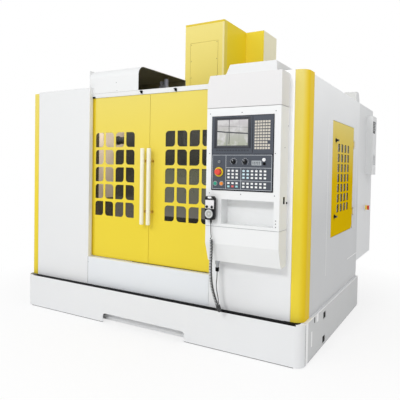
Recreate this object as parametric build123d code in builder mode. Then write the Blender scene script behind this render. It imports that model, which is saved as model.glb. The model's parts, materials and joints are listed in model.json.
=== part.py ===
"""Vertical machining center: bed, column, saddle, table, head and tool magazine inside a
sheet-metal enclosure with sliding doors, an operator console and a control cabinet.

Millimetres, +Z up. The origin is the bottom centre of the whole machine. Places across are
measured from the machine's centre line, places in depth from the front face of the base."""

import os
from math import pi, radians, tan

from build123d import *

os.makedirs("parts", exist_ok=True)

# Clearances and sheets
seat_gap = 0.3
running_gap = 0.05
way_gap = 0.3
sheet = 2.5
heavy_sheet = 4.0
bend_radius = 4.5

# Base
base_width = 2476.0
base_depth = 1600.0
base_top = 268.0
floor_gap = 6.0
base_corner_radius = 55.0
base_wrap = 80.0
base_flange = 40.0
notch_left = -364.0
notch_right = 387.0
notch_height = 73.0
notch_radius = 24.0
tank_front = 60.0
tank_rear = 700.0
tank_half_width = 520.0
gutter_lip = 8.0
gutter_depth = 42.0
sill_reach = 70.0
hose_hole_place = (490.0, 212.0)
cable_hole_place = (480.0, 46.0)
base_hole = (68.0, 48.0)
tank_foot_radius = 25.0
tank_foot_inset = 80.0

# Enclosure
enclosure_width = 2436.0
enclosure_front = 47.0
enclosure_top = 1840.0
side_top = 1828.0
left_panel_top = 1852.0
flange = 30.0
post_wrap = 190.0
post_radius = 60.0
left_post_width = 55.0
right_post_width = 79.0
opening_left = -570.0
opening_right = 552.0
sill_top = 488.0
sill_depth = 41.0
sill_return = 20.0
post_flat = 1.0
cable_opening = (200.0, 150.0)
cable_opening_radius = 20.0

# Chip pans
pan_front = 127.0
pan_top = 620.0
pan_rim = 60.0
pan_low = 330.0
pan_trough = 60.0

# Sliding doors
door_front = 93.0
door_depth = 30.0
door_bottom = 494.0
door_top = 1770.0
door_leaf_width = 580.0
door_gap = 3.0
cell_width = 84.0
cell_height = 115.5
cell_pitch_x = 104.3
cell_pitch_z = 137.1
cell_radius = 27.0
cell_columns = 4
cell_rows = 5
cell_margin = 142.0
cells_top = 1490.0
pane_thickness = 4.0
pane_lap = 14.0
rail_top = 1780.0
rail_height = 25.0
rail_thickness = 6.0
rail_front = 128.0
rail_inset_left = 70.0
rail_inset_right = 90.0
rail_bracket_inset = 30.0
bracket_width = 30.0
bracket_thickness = 4.0
roller_radius = 10.7
hanger_offset = 130.0
hanger_gap = 1.0
hanger_foot = 5.0
hanger_drop = 30.0
hanger_rise = 14.0
handle_radius = 16.0
handle_offset = 30.0
handle_standoff = 50.0
handle_bottom = 791.0
handle_length = 571.0
handle_post_inset = 95.0
handle_post_radius = 8.0
handle_end_radius = 3.0

# Door header, hood and roof covers
header_front = enclosure_front + sill_depth + seat_gap
header_lap = 40.0
header_bottom = 1771.5
header_top = 1807.0
header_depth = 100.0
header_return = 20.0
hood_left = -612.0
hood_right = -113.0
hood_top = 1996.0
hood_rear = 766.0
hood_radius = 70.0
air_unit_place = (-178.0, 522.0)
air_unit_width = 70.0
air_unit_depth = 34.0
air_unit_drop = 126.0
air_unit_height = 42.0
air_filter_offset = 18.0
air_filter_radius = 16.0
air_filter_height = 56.0
gauge_rise = 26.0
gauge_radius = 14.0
gauge_stem = 10.0
roof_cover_left = 688.0
roof_cover_right = 1014.0
roof_cover_top = 1912.0
roof_cover_depth = 340.0
roof_cover_slope = 34.0
roof_cover_toe = 6.0

# Side service door
service_width = 705.0
service_rear_margin = 220.0
service_bottom = 728.0
service_top = 1585.0
service_gap = 3.0
service_depth = 22.0
service_corner = 60.0
jamb_width = 14.0
slot_width = 66.0
slot_height = 63.0
slot_radius = 15.0
slot_pitch_y = 105.0
slot_pitch_z = 77.3
slot_columns = 4
slot_rows = 7
slot_inset = 157.0
slots_top = 1425.0
hinge_radius = 7.0
hinge_pin_radius = 3.0
hinge_length = 44.0
hinge_lug = 12.0
hinge_leaf_thickness = 3.0
hinge_leaf_length = 34.0
hinge_pin_setback = 2.0
latch_inset = 90.0
latch_heights = (875.0, 1445.0)
latch_shaft_radius = 7.0
latch_rose_radius = 15.0
latch_rose_height = 6.0
latch_grip = (40.0, 14.0)
latch_grip_height = 14.0
latch_grip_radius = 5.0
tongue_width = 18.0
tongue_thickness = 5.0
tongue_heel = 12.0
tongue_reach = 20.0
tongue_radius = 6.0

# Electrical cabinet
cabinet_left = 420.0
cabinet_bottom = 405.0
cabinet_rear = 2230.0
cabinet_door_depth = 20.0
cabinet_door_rim = 12.0
gear_plate_inset_x = 40.0
gear_plate_inset_z = 60.0
gear_plate_thickness = 6.0
gear_fill = 0.8
drive_count = 4
drive_height = 380.0
drive_depth = 220.0
drive_drop = 300.0
contactor_count = 6
contactor_height = 110.0
contactor_depth = 95.0
contactor_rise = 560.0
exchanger_front = 1920.0
exchanger_width = 200.0
exchanger_depth = 60.0
exchanger_bottom = 1184.0
exchanger_height = 561.0
louvre = (130.0, 9.0)
louvre_count = 6
louvre_pitch = 16.0
louvre_depth = 10.0
outlet_drop = 90.0
outlet_spacing = 330.0
duct_left = 973.0
duct_width = 120.0
duct_front = 2050.0
duct_depth = 150.0
duct_height = 180.0
duct_chamfer_y = 45.0
duct_chamfer_z = 72.0
switch_y = 1950.0
switch_height = 865.0
switch_plate = 66.0
switch_plate_depth = 6.0
switch_plate_radius = 5.0
switch_radius = 23.0
switch_rose = 12.0
switch_depth = 34.0
switch_grip_width = 14.0
switch_grip_inset = 2.0
switch_grip_radius = 6.0
switch_shaft_radius = 5.0
switch_shaft_reach = 30.0

# Operator console
console_left = 598.0
console_right = 1105.0
console_front = -92.0
console_top = 1818.0
cap_bottom = 1607.0
body_bottom = 848.0
console_bottom = 614.0
console_seam = 3.0
cap_slope_width = 17.0
cap_slope_height = 60.0
lower_bend = 735.0
lower_setback = 44.0
panel_left = 639.0
panel_width = 420.0
panel_proud = 4.0
unit_bottom = 1315.0
unit_height = 237.0
unit_depth = 55.0
unit_seat_x = 13.0
unit_seat_z = 11.0
cutout_inset_x = 12.0
cutout_inset_z = 10.0
controls_bottom = 1085.0
controls_height = 228.0
screen_left = 669.0
screen_bottom = 1359.0
screen_width = 229.0
screen_height = 177.0
screen_recess = 2.5
screen_sink = 0.8
key_height = 1.5
mdi_left = 944.0
mdi_bottom = 1350.0
mdi_columns = 6
mdi_rows = 10
mdi_pitch_x = 17.5
mdi_pitch_z = 17.7
mdi_key = (13.0, 12.0)
panel_key = (17.0, 12.5)
key_pitch_x = 28.6
key_pitch_z = 21.0
key_columns = (3, 6, 3, 6)
key_rows = (3, 3, 2, 2)
key_lefts = (763.0, 867.0, 763.0, 867.0)
key_bottoms = (1166.0, 1166.0, 1109.0, 1109.0)
tray_left = 710.0
tray_right = 1068.0
tray_bottom = 866.0
tray_top = 1025.0
tray_depth = 92.0
side_slot = (12.0, 40.0)
side_slot_setback = 72.0
side_slot_height = 1031.0

# Controls on the operator panel
estop_place = (694.0, 1199.0)
estop_radius = 20.0
estop_collar_radius = 29.0
estop_collar_height = 6.0
estop_height = 26.0
estop_travel = 5.0
estop_round = 7.0
stem_reach = 8.0
press_gap = 1.0
button_places = {"start": (669.0, 1125.0), "stop": (714.0, 1125.0)}
button_radius = 11.0
button_ring_radius = 14.0
button_height = 7.0
button_travel = 3.0
key_switch_place = (697.0, 1264.0)
key_switch_radius = 9.0
key_switch_rise = 6.0
key_bow = (2.5, 9.0)
key_bow_height = 16.0
knob_places = {"feed": (797.0, 1266.0), "spindle": (876.0, 1266.0)}
knob_radius = 13.0
knob_height = 18.0
knob_taper = 6.0
pointer_width = 6.0
pointer_reach = 3.0
pointer_height = 6.0
stem_radius = 5.0
bore_reach = 20.0
stem_lengths = {"button": 10.0, "key": 14.0, "knob": 10.0}

# Handwheel pendant and its cord
pendant_x = 650.0
pendant_bottom = 890.0
pendant_width = 72.0
pendant_height = 153.0
pendant_depth = 42.0
pendant_radius = 14.0
pendant_slot = 16.0
pendant_slot_inset = 12.0
pendant_slot_radius = 6.0
pendant_rim = 11.0
pendant_bore_depth = 20.0
hook_width = 26.0
hook_thickness = 3.0
hook_lip = 9.0
wheel_drop = 40.0
wheel_radius = 31.0
wheel_height = 16.0
wheel_grip_radius = 5.0
wheel_grip_height = 6.0
wheel_grip_inset = 9.0
wheel_grip_angle = 60.0
selector_rise = 84.0
selector_spacing = 36.0
selector_radius = 7.0
selector_height = 9.0
selector_pointer_width = 3.0
selector_pointer_reach = 2.5
pendant_stem_radius = 2.5
wheel_stem_length = 16.0
selector_stem_length = 12.0
boot_length = 28.0
boot_radius = 8.0
boot_taper = 6.0
lead_radius = 3.5
curl_radius = 11.0
gland_radius = 14.0
gland_length = 34.0
gland_nut_drop = 10.0
gland_nut_height = 12.0
gland_nut_rim = 4.0
connector_radius = 10.0
connector_length = 42.0

# Bed, column and moving axes
spindle_y = 1040.0
table_y = 960.0
bed_half_width = 420.0
bed_front = 430.0
bed_rear = 1950.0
bed_bottom = 45.0
bed_belly = 150.0
bed_step = 740.0
bed_top = 470.0
bed_nose = 60.0
belly_chamfer = 40.0
bed_pocket = (230.0, 240.0)
bed_pocket_radius = 30.0
bed_pocket_pitch = 290.0
bed_pockets = 4
bed_pocket_depth = 130.0
foot_inset = 60.0
foot_rows = 3
foot_pad_radius = 55.0
foot_pad_height = 18.0
foot_screw_radius = 16.0
column_seat = 540.0
column_seat_lead = 20.0
column_front = 1500.0
column_half_width = 260.0
column_foot_half_width = 330.0
column_foot_height = 70.0
column_top = 2300.0
column_head_depth = 150.0
column_foot_depth = 420.0
column_wall = 35.0
column_waist = 360.0
column_pocket = (205.0, 240.0)
column_pocket_radius = 25.0
column_pocket_rise = 540.0
column_pocket_pitch = (240.0, 290.0)
column_pocket_columns = 2
column_pocket_rows = 3
rail_width = 35.0
rail_rise = 30.0
carriage_lift = 20.0
carriage_width = 100.0
carriage_length = 120.0
carriage_skirt = 22.0
screw_radius = 16.0
screw_lift = 4.0
z_screw_gap = 9.0
bearing_half_width = 45.0
bearing_depth = 40.0
bearing_rim = 6.0
y_rail_x = 290.0
y_rail_front = 445.0
y_rail_rear = 1470.0
x_rail_y = 190.0
z_rail_x = 170.0
z_rail_bottom = 1130.0
z_rail_top = 2285.0
z_motor = 130.0
z_motor_radius = 14.0
z_motor_height = 170.0
z_motor_plate_half_width = 75.0
z_motor_plate_height = 20.0
z_motor_plate_inset = 6.0
saddle_half_width = 570.0
saddle_half_depth = 260.0
saddle_thickness = 200.0
saddle_pocket_height = 100.0
saddle_pocket_rise = 70.0
saddle_pocket_radius = 25.0
saddle_pocket_depth = 130.0
saddle_margin = 20.0
nut_half_width = 50.0
nut_length = 100.0
nut_gap = 2.0
x_bearing_half_width = 40.0
x_motor_half_width = 65.0
x_motor_drop = 90.0
x_motor_rise = 40.0
x_motor_length = 130.0
table_length = 1000.0
table_depth = 500.0
table_thickness = 90.0
table_carriage_x = 110.0
table_nut_half_width = 45.0
table_nut_length = 80.0
slot_throat = 18.0
slot_head = 30.0
slot_throat_depth = 18.0
slot_head_depth = 14.0
table_slot_pitch = 100.0
table_slots = 5
spindle_nose = 1510.0
spindle_radius = 55.0
spindle_length = 320.0
nose_radius = 95.0
taper_mouth_radius = 22.225
taper_length = 66.0
taper_angle = 8.2971
drawbar_radius = 10.0
drawbar_length = 200.0
drive_key = 16.0
drive_key_x = 35.0
drive_key_height = 7.0
head_half_width = 150.0
head_front = 905.0
head_rear = 1440.0
head_bottom = 1600.0
head_top = 2050.0
head_chin = 40.0
head_chin_lead = 30.0
head_brow = 60.0
head_nose_reach = 140.0
nose_gap = 8.0
head_carriage_rise = 70.0
head_carriage_drop = 20.0
head_nut_half_width = 48.0
head_nut_gap = 6.0
head_nut_rise = 200.0
head_nut_height = 80.0
lug_front = 960.0
lug_rear = 1010.0
lug_height = 30.0
lug_rise = 60.0
lug_drop = 120.0
spindle_relief = 10.0
motor_side = 190.0
motor_radius = 30.0
motor_height = 330.0
motor_flange_rim = 15.0
motor_flange_height = 16.0
motor_flange_radius = 12.0
motor_cap_inset = 15.0
motor_cap_height = 60.0

# Covers over head and column
head_cover_half_width = 200.0
head_cover_front = 890.0
head_cover_bottom = 1640.0
cover_gap = 2.5
cover_lap = 14.0
cover_top = 2526.0
column_cover_front = 1338.0
column_cover_rear = 1665.0
column_cover_half_width = 384.0
column_cover_bottom = 1832.0
column_cover_drop = 4.0
column_cover_brow = 60.0
bracket_setback = 20.0
bracket_length = 70.0
bracket_height = 60.0
bracket_drop = 120.0

# Tool changer
arm_radius = 400.0
arm_bottom = 1040.0
arm_thickness = 45.0
arm_width = 70.0
arm_hub_radius = 60.0
arm_inset = 60.0
gripper_radius = 56.0
gripper_inset = 6.0
gripper_bore = 32.5
gripper_mouth = (64.0, 62.0)
arm_shaft_radius = 28.0
arm_shaft_reach = 110.0
changer_bottom = 1130.0
changer_top = 1440.0
changer_front = 940.0
changer_width = 150.0
changer_rear = 1590.0
changer_bracket = 60.0
changer_round = 40.0
changer_motor = 120.0
changer_motor_radius = 10.0
changer_motor_height = 210.0
changer_bore_depth = 120.0
trunnion_radius = 75.0
trunnion_foot = 60.0
magazine_z = 1470.0
magazine_radius = 330.0
magazine_rim = 372.0
magazine_disc_x = -730.0
magazine_thickness = 24.0
magazine_bore = 40.0
magazine_hole_radius = 60.0
magazine_hole_ring = 181.5
magazine_holes = 6
pot_count = 16
pot_radius = 33.0
pot_bore = 21.0
pot_length = 110.0
pot_flange = 14.0
pot_flange_rise = 9.0

# Places that follow from the sizes
half_base = base_width / 2
half_enclosure = enclosure_width / 2
right_reach = half_enclosure + exchanger_depth
mid_x = (half_base - right_reach) / 2
wheel_front = console_front - pendant_depth - wheel_height
rear_reach = cabinet_rear + seat_gap + cabinet_door_depth
front_y = -(wheel_front + rear_reach) / 2
service_rear = base_depth - service_rear_margin
service_front = service_rear - service_width
slot_first_y = service_front + slot_inset
latch_y = service_front + latch_inset
head_cover_rear = column_cover_front - cover_gap
column_cover_slot = head_cover_half_width - cover_lap
column_cover_top = cover_top - column_cover_drop
saddle_bottom = bed_top + rail_rise + carriage_lift
saddle_top = saddle_bottom + saddle_thickness
table_bottom = saddle_top + rail_rise + carriage_lift
table_top = table_bottom + table_thickness
panel_face = console_front - panel_proud


def front_plane(depth):
    """Upright plane at a depth, facing the operator: x across, y up."""
    return Plane(origin=(mid_x, front_y + depth, 0), x_dir=(1, 0, 0), z_dir=(0, -1, 0))


def side_plane(across):
    """Upright plane facing right: x towards the rear, y up."""
    return Plane(origin=(mid_x + across, front_y, 0), x_dir=(0, 1, 0), z_dir=(1, 0, 0))


def level_plane(height):
    """Level plane facing up: x across, y towards the rear."""
    return Plane(origin=(mid_x, front_y, height), x_dir=(1, 0, 0), z_dir=(0, 0, 1))


def span(low_x, high_x, low_y, high_y, mode=Mode.ADD):
    """Rectangle between two corners of the active sketch."""
    with Locations(((low_x + high_x) / 2, (low_y + high_y) / 2)):
        Rectangle(high_x - low_x, high_y - low_y, mode=mode)


def folded(points, thickness, radii, inner_side):
    """Section of a folded sheet, drawn along the sheet's outer line."""
    with BuildLine(mode=Mode.PRIVATE) as section:
        FilletPolyline(*points, radius=radii)
        offset(amount=thickness, side=inner_side)
    make_face(section.edges())


def inner(side):
    """Side of a line towards the machine, for a line drawn counter-clockwise on the right."""
    return Side.LEFT if side > 0 else Side.RIGHT


def rounded_cell(width, height, radius, lean):
    """Window cell with two opposite corners rounded; lean picks which two."""
    with BuildSketch(mode=Mode.PRIVATE) as cell:
        Rectangle(width, height)
        corners = cell.vertices().filter_by(lambda corner: corner.X * corner.Y * lean < 0)
        fillet(corners, radius=radius)
    return cell.sketch


def cut_box(low_x, high_x, low_y, high_y, low_z, high_z):
    """Cuts a box out of the active part."""
    centre = (mid_x + (low_x + high_x) / 2, front_y + (low_y + high_y) / 2, (low_z + high_z) / 2)
    with Locations(centre):
        Box(high_x - low_x, high_y - low_y, high_z - low_z, mode=Mode.SUBTRACT)


def post_arc(width):
    """Radius of a corner post's round corner, short of the bend beside the panel."""
    return min(post_radius, width - bend_radius - post_flat)


def door_hinge_places(low, high):
    """Heights of a door's two hinges, one sixth of its height from each end."""
    return [low + (high - low) / 6, high - (high - low) / 6]


# Front of the base, one sheet bent round both corners, with the notch over the tank
with BuildPart() as base_front:
    with BuildSketch(level_plane(floor_gap)):
        folded(
            [(-half_base, base_wrap), (-half_base, 0), (half_base, 0), (half_base, base_wrap)],
            heavy_sheet,
            base_corner_radius,
            Side.LEFT,
        )
    extrude(amount=base_top - floor_gap)
    with BuildSketch(front_plane(0)) as notch:
        span(notch_left, notch_right, 0, notch_height)
        fillet(notch.vertices().group_by(Axis.Z)[-1], radius=notch_radius)
    extrude(amount=-heavy_sheet, mode=Mode.SUBTRACT)
base_front.part.label = "base_front"
export_step(base_front.part, "parts/base_front.step")

# Side panels of the base, folded channels, the right one with two cable openings, and the
# folded sill between them that carries the front panels behind a dark gutter
with BuildPart() as base_sides:
    for side in (-1, 1):
        with BuildSketch(front_plane(base_wrap)):
            folded(
                [
                    (side * (half_base - base_flange), base_top),
                    (side * half_base, base_top),
                    (side * half_base, floor_gap),
                    (side * (half_base - base_flange), floor_gap),
                ],
                heavy_sheet,
                bend_radius,
                inner(-side),
            )
        extrude(amount=base_wrap - base_depth)
    with BuildSketch(side_plane(half_base)):
        with Locations(hose_hole_place, cable_hole_place):
            Rectangle(*base_hole)
    extrude(amount=-heavy_sheet, mode=Mode.SUBTRACT)
    gutter_front = heavy_sheet + sheet + seat_gap
    gutter_rear = enclosure_front - seat_gap - sheet
    with BuildSketch(side_plane(left_post_width - half_enclosure)):
        folded(
            [
                (gutter_front, base_top - gutter_lip),
                (gutter_front, base_top - gutter_depth),
                (gutter_rear, base_top - gutter_depth),
                (gutter_rear, base_top),
                (enclosure_front + sill_reach, base_top),
            ],
            sheet,
            bend_radius,
            Side.RIGHT,
        )
    extrude(amount=enclosure_width - left_post_width - right_post_width)
base_sides.part.label = "base_sides"
export_step(base_sides.part, "parts/base_sides.step")

# Closed coolant tank seen through the notch, reaching under the bed
tank_top = bed_belly - seat_gap
with BuildPart() as coolant_tank:
    with BuildSketch(level_plane(floor_gap)):
        span(-tank_half_width, tank_half_width, tank_front, tank_rear)
    extrude(amount=tank_top - floor_gap)
    with BuildSketch(level_plane(0)):
        with Locations((0, (tank_front + tank_rear) / 2)):
            with GridLocations(
                2 * (tank_half_width - tank_foot_inset),
                tank_rear - tank_front - 2 * tank_foot_inset,
                2,
                2,
            ):
                Circle(tank_foot_radius)
    extrude(amount=floor_gap)
coolant_tank.part.label = "coolant_tank"
export_step(coolant_tank.part, "parts/coolant_tank.step")

# Levelling pads and screws under the bed
foot_x = bed_half_width - foot_inset
first_foot = bed_step + foot_inset
foot_pitch = (bed_rear - bed_step - 2 * foot_inset) / (foot_rows - 1)
foot_places = [
    (side * foot_x, first_foot + row * foot_pitch) for side in (-1, 1) for row in range(foot_rows)
]
with BuildPart() as leveling_feet:
    with BuildSketch(level_plane(0)):
        with Locations(*foot_places):
            Circle(foot_pad_radius)
    extrude(amount=foot_pad_height)
    with BuildSketch(level_plane(foot_pad_height)):
        with Locations(*foot_places):
            Circle(foot_screw_radius)
    extrude(amount=bed_bottom - foot_pad_height)
leveling_feet.part.label = "leveling_feet"
export_step(leveling_feet.part, "parts/leveling_feet.step")

# Bed casting: stepped side outline, ribbed flanks
with BuildPart() as bed_casting:
    with BuildSketch(side_plane(-bed_half_width)):
        with BuildLine():
            Polyline(
                (bed_front, bed_belly + bed_nose),
                (bed_front, bed_top),
                (column_front - column_seat_lead, bed_top),
                (column_front - column_seat_lead, column_seat),
                (bed_rear, column_seat),
                (bed_rear, bed_bottom),
                (bed_step, bed_bottom),
                (bed_step - belly_chamfer, bed_belly),
                (bed_front + belly_chamfer, bed_belly),
                close=True,
            )
        make_face()
    extrude(amount=2 * bed_half_width)
    for side in (-1, 1):
        with BuildSketch(side_plane(side * bed_half_width)):
            with Locations(((bed_step + bed_rear) / 2, (bed_bottom + bed_top) / 2)):
                with GridLocations(bed_pocket_pitch, 1, bed_pockets, 1):
                    RectangleRounded(*bed_pocket, bed_pocket_radius)
        extrude(amount=-side * bed_pocket_depth, mode=Mode.SUBTRACT)
bed_casting.part.label = "bed_casting"
export_step(bed_casting.part, "parts/bed_casting.step")

# Column casting: tapered side outline on a foot, open at the back between its walls
with BuildPart() as column_casting:
    with BuildSketch(side_plane(-column_half_width)):
        with BuildLine():
            Polyline(
                (column_front, column_seat),
                (column_front, column_top),
                (column_front + column_head_depth, column_top),
                (column_front + column_head_depth, side_top),
                (column_front + column_foot_depth, column_seat + column_waist),
                (column_front + column_foot_depth, column_seat),
                close=True,
            )
        make_face()
    extrude(amount=2 * column_half_width)
    with BuildSketch(level_plane(column_seat)):
        span(
            -column_foot_half_width,
            column_foot_half_width,
            column_front,
            column_front + column_foot_depth,
        )
    extrude(amount=column_foot_height)
    with BuildSketch(front_plane(column_front + column_foot_depth)):
        with Locations((0, column_seat + column_pocket_rise)):
            with GridLocations(*column_pocket_pitch, column_pocket_columns, column_pocket_rows):
                RectangleRounded(*column_pocket, column_pocket_radius)
    extrude(amount=column_foot_depth - column_wall, mode=Mode.SUBTRACT)
column_casting.part.label = "column_casting"
export_step(column_casting.part, "parts/column_casting.step")

# Feed drives on the bed and the column: two pairs of rails, two ball screws in their bearings
# and the motor of the head's screw on top of the column
y_screw_z = bed_top + screw_radius + screw_lift
z_screw_y = column_front - screw_radius - z_screw_gap
with BuildPart() as feed_drives:
    with BuildSketch(level_plane(bed_top)):
        for side in (-1, 1):
            low = side * y_rail_x - rail_width / 2
            span(low, low + rail_width, y_rail_front, y_rail_rear)
    extrude(amount=rail_rise)
    for depth in (y_rail_front, y_rail_rear - bearing_depth):
        with BuildSketch(front_plane(depth)):
            span(
                -bearing_half_width,
                bearing_half_width,
                bed_top,
                y_screw_z + screw_radius + bearing_rim,
            )
        extrude(amount=-bearing_depth)
    with BuildSketch(front_plane(y_rail_front + bearing_depth)):
        with Locations((0, y_screw_z)):
            Circle(screw_radius)
    extrude(amount=y_rail_front + 2 * bearing_depth - y_rail_rear)
    with BuildSketch(front_plane(column_front)):
        for side in (-1, 1):
            low = side * z_rail_x - rail_width / 2
            span(low, low + rail_width, z_rail_bottom, z_rail_top)
    extrude(amount=rail_rise)
    for height in (z_rail_bottom, z_rail_top - bearing_depth):
        with BuildSketch(level_plane(height)):
            span(
                -bearing_half_width,
                bearing_half_width,
                z_screw_y - screw_radius - bearing_rim,
                column_front,
            )
        extrude(amount=bearing_depth)
    with BuildSketch(level_plane(z_rail_bottom + bearing_depth)):
        with Locations((0, z_screw_y)):
            Circle(screw_radius)
    extrude(amount=z_rail_top - z_rail_bottom - 2 * bearing_depth)
    motor_plate_rear = column_front + column_head_depth - z_motor_plate_inset
    with BuildSketch(level_plane(column_top)):
        span(-z_motor_plate_half_width, z_motor_plate_half_width, column_front, motor_plate_rear)
    extrude(amount=z_motor_plate_height)
    with BuildSketch(level_plane(column_top + z_motor_plate_height)):
        with Locations((0, (column_front + motor_plate_rear) / 2)):
            RectangleRounded(z_motor, z_motor, z_motor_radius)
    extrude(amount=z_motor_height)
feed_drives.part.label = "feed_drives"
export_step(feed_drives.part, "parts/feed_drives.step")

# Corner posts, rolled round the vertical corners and capped
with BuildPart() as corner_posts:
    for side, width in ((-1, left_post_width), (1, right_post_width)):
        inner_edge = side * (half_enclosure - width)
        outer_edge = side * half_enclosure
        with BuildSketch(level_plane(base_top)):
            folded(
                [
                    (inner_edge, enclosure_front + flange),
                    (inner_edge, enclosure_front),
                    (outer_edge, enclosure_front),
                    (outer_edge, post_wrap),
                    (outer_edge - side * flange, post_wrap),
                ],
                sheet,
                [bend_radius, post_arc(width), bend_radius],
                inner(side),
            )
        extrude(amount=enclosure_top - base_top - sheet)
        with BuildSketch(level_plane(enclosure_top - sheet)) as cap:
            with BuildLine():
                Polyline(
                    (inner_edge, enclosure_front),
                    (outer_edge, enclosure_front),
                    (outer_edge, post_wrap),
                    (inner_edge, post_wrap),
                    close=True,
                )
            make_face()
            corner = cap.vertices().group_by(Axis.Y)[0].sort_by(Axis.X)[-1 if side > 0 else 0]
            fillet(corner, radius=post_arc(width))
        extrude(amount=sheet)
corner_posts.part.label = "corner_posts"
export_step(corner_posts.part, "parts/corner_posts.step")

# Left front panel with its return towards the doors
with BuildPart() as left_front_panel:
    panel_edge = left_post_width - half_enclosure + seat_gap
    with BuildSketch(level_plane(base_top)):
        folded(
            [
                (panel_edge, enclosure_front + flange),
                (panel_edge, enclosure_front),
                (opening_left, enclosure_front),
                (opening_left, enclosure_front + sill_depth),
            ],
            sheet,
            bend_radius,
            Side.LEFT,
        )
    extrude(amount=left_panel_top - base_top)
left_front_panel.part.label = "left_front_panel"
export_step(left_front_panel.part, "parts/left_front_panel.step")

# Low front panel under the doors, folded back at its top into the door sill
with BuildPart() as lower_front_panel:
    with BuildSketch(side_plane(opening_left + seat_gap)):
        folded(
            [
                (enclosure_front + flange, base_top),
                (enclosure_front, base_top),
                (enclosure_front, sill_top),
                (enclosure_front + sill_depth, sill_top),
                (enclosure_front + sill_depth, sill_top - sill_return),
            ],
            sheet,
            bend_radius,
            Side.RIGHT,
        )
    extrude(amount=opening_right - opening_left - 2 * seat_gap)
lower_front_panel.part.label = "lower_front_panel"
export_step(lower_front_panel.part, "parts/lower_front_panel.step")

# Right front panel behind the console, with a cable opening
with BuildPart() as right_front_panel:
    panel_edge = half_enclosure - right_post_width - seat_gap
    with BuildSketch(level_plane(base_top)):
        folded(
            [
                (opening_right, enclosure_front + sill_depth),
                (opening_right, enclosure_front),
                (panel_edge, enclosure_front),
                (panel_edge, enclosure_front + flange),
            ],
            sheet,
            bend_radius,
            Side.LEFT,
        )
    extrude(amount=enclosure_top - base_top)
    with BuildSketch(front_plane(enclosure_front)):
        with Locations(((console_left + console_right) / 2, unit_bottom)):
            RectangleRounded(*cable_opening, cable_opening_radius)
    extrude(amount=-sheet, mode=Mode.SUBTRACT)
right_front_panel.part.label = "right_front_panel"
export_step(right_front_panel.part, "parts/right_front_panel.step")

# Left side panel, a plain flanged pan, and the rear panels each side of the column
with BuildPart() as left_rear_panels:
    with BuildSketch(side_plane(-half_enclosure)):
        span(post_wrap + seat_gap, base_depth, base_top, side_top)
    extrude(amount=sheet)
    with BuildSketch(side_plane(sheet - half_enclosure)):
        span(post_wrap + seat_gap, base_depth, base_top, side_top)
        span(
            post_wrap + seat_gap + sheet,
            base_depth - sheet,
            base_top + sheet,
            side_top - sheet,
            mode=Mode.SUBTRACT,
        )
    extrude(amount=flange)
    with BuildSketch(front_plane(base_depth - sheet)):
        for side in (-1, 1):
            outer = side * (half_enclosure - flange - sheet - seat_gap)
            waist = side * (bed_half_width + seat_gap)
            near = side * (column_foot_half_width + seat_gap)
            with BuildLine():
                Polyline(
                    (outer, base_top),
                    (outer, side_top),
                    (near, side_top),
                    (near, column_seat + seat_gap),
                    (waist, column_seat + seat_gap),
                    (waist, base_top),
                    close=True,
                )
            make_face()
    extrude(amount=-sheet)
left_rear_panels.part.label = "left_rear_panels"
export_step(left_rear_panels.part, "parts/left_rear_panels.step")

# Right side panel with the flanged opening and the hinge lugs of the service door
service_pin_x = half_enclosure + hinge_radius + seat_gap
service_pin_y = service_rear + service_gap / 2
service_hinges = door_hinge_places(service_bottom, service_top)
with BuildPart() as side_panel_right:
    with BuildSketch(side_plane(half_enclosure)) as face:
        span(post_wrap + seat_gap, base_depth, base_top, side_top)
        with Locations(
            ((service_front + service_rear) / 2, (service_bottom + service_top) / 2)
        ):
            Rectangle(
                service_rear - service_front + 2 * service_gap,
                service_top - service_bottom + 2 * service_gap,
                mode=Mode.SUBTRACT,
            )
        corner = face.vertices().sort_by_distance(
            (mid_x + half_enclosure, front_y + service_rear, service_bottom)
        )[0]
        fillet(corner, radius=service_corner + service_gap)
    extrude(amount=-sheet)
    with BuildSketch(side_plane(half_enclosure - sheet)):
        span(post_wrap + seat_gap, base_depth, base_top, side_top)
        span(
            post_wrap + seat_gap + sheet,
            base_depth - sheet,
            base_top + sheet,
            side_top - sheet,
            mode=Mode.SUBTRACT,
        )
    extrude(amount=-flange)
    with BuildSketch(side_plane(half_enclosure - sheet)) as jamb:
        with Locations(
            ((service_front + service_rear) / 2, (service_bottom + service_top) / 2)
        ):
            Rectangle(
                service_rear - service_front + 2 * service_gap,
                service_top - service_bottom + 2 * service_gap,
            )
        corner = jamb.vertices().sort_by_distance(
            (mid_x + half_enclosure, front_y + service_rear, service_bottom)
        )[0]
        fillet(corner, radius=service_corner + service_gap)
        opening_outline = jamb.sketch_local
        offset(amount=jamb_width, kind=Kind.INTERSECTION)
        add(opening_outline, mode=Mode.SUBTRACT)
    extrude(amount=sheet - service_depth)
    for height in service_hinges:
        for low in (height - hinge_length / 2 - hinge_lug, height + hinge_length / 2):
            with BuildSketch(level_plane(low)):
                with Locations((service_pin_x, service_pin_y)):
                    Circle(hinge_radius)
                span(
                    half_enclosure,
                    half_enclosure + hinge_leaf_thickness,
                    service_pin_y + service_gap,
                    service_pin_y + hinge_leaf_length,
                )
            extrude(amount=hinge_lug)
        with BuildSketch(level_plane(height - hinge_length / 2)):
            with Locations((service_pin_x, service_pin_y)):
                Circle(hinge_pin_radius)
        extrude(amount=hinge_length)
side_panel_right.part.label = "side_panel_right"
export_step(side_panel_right.part, "parts/side_panel_right.step")

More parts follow.
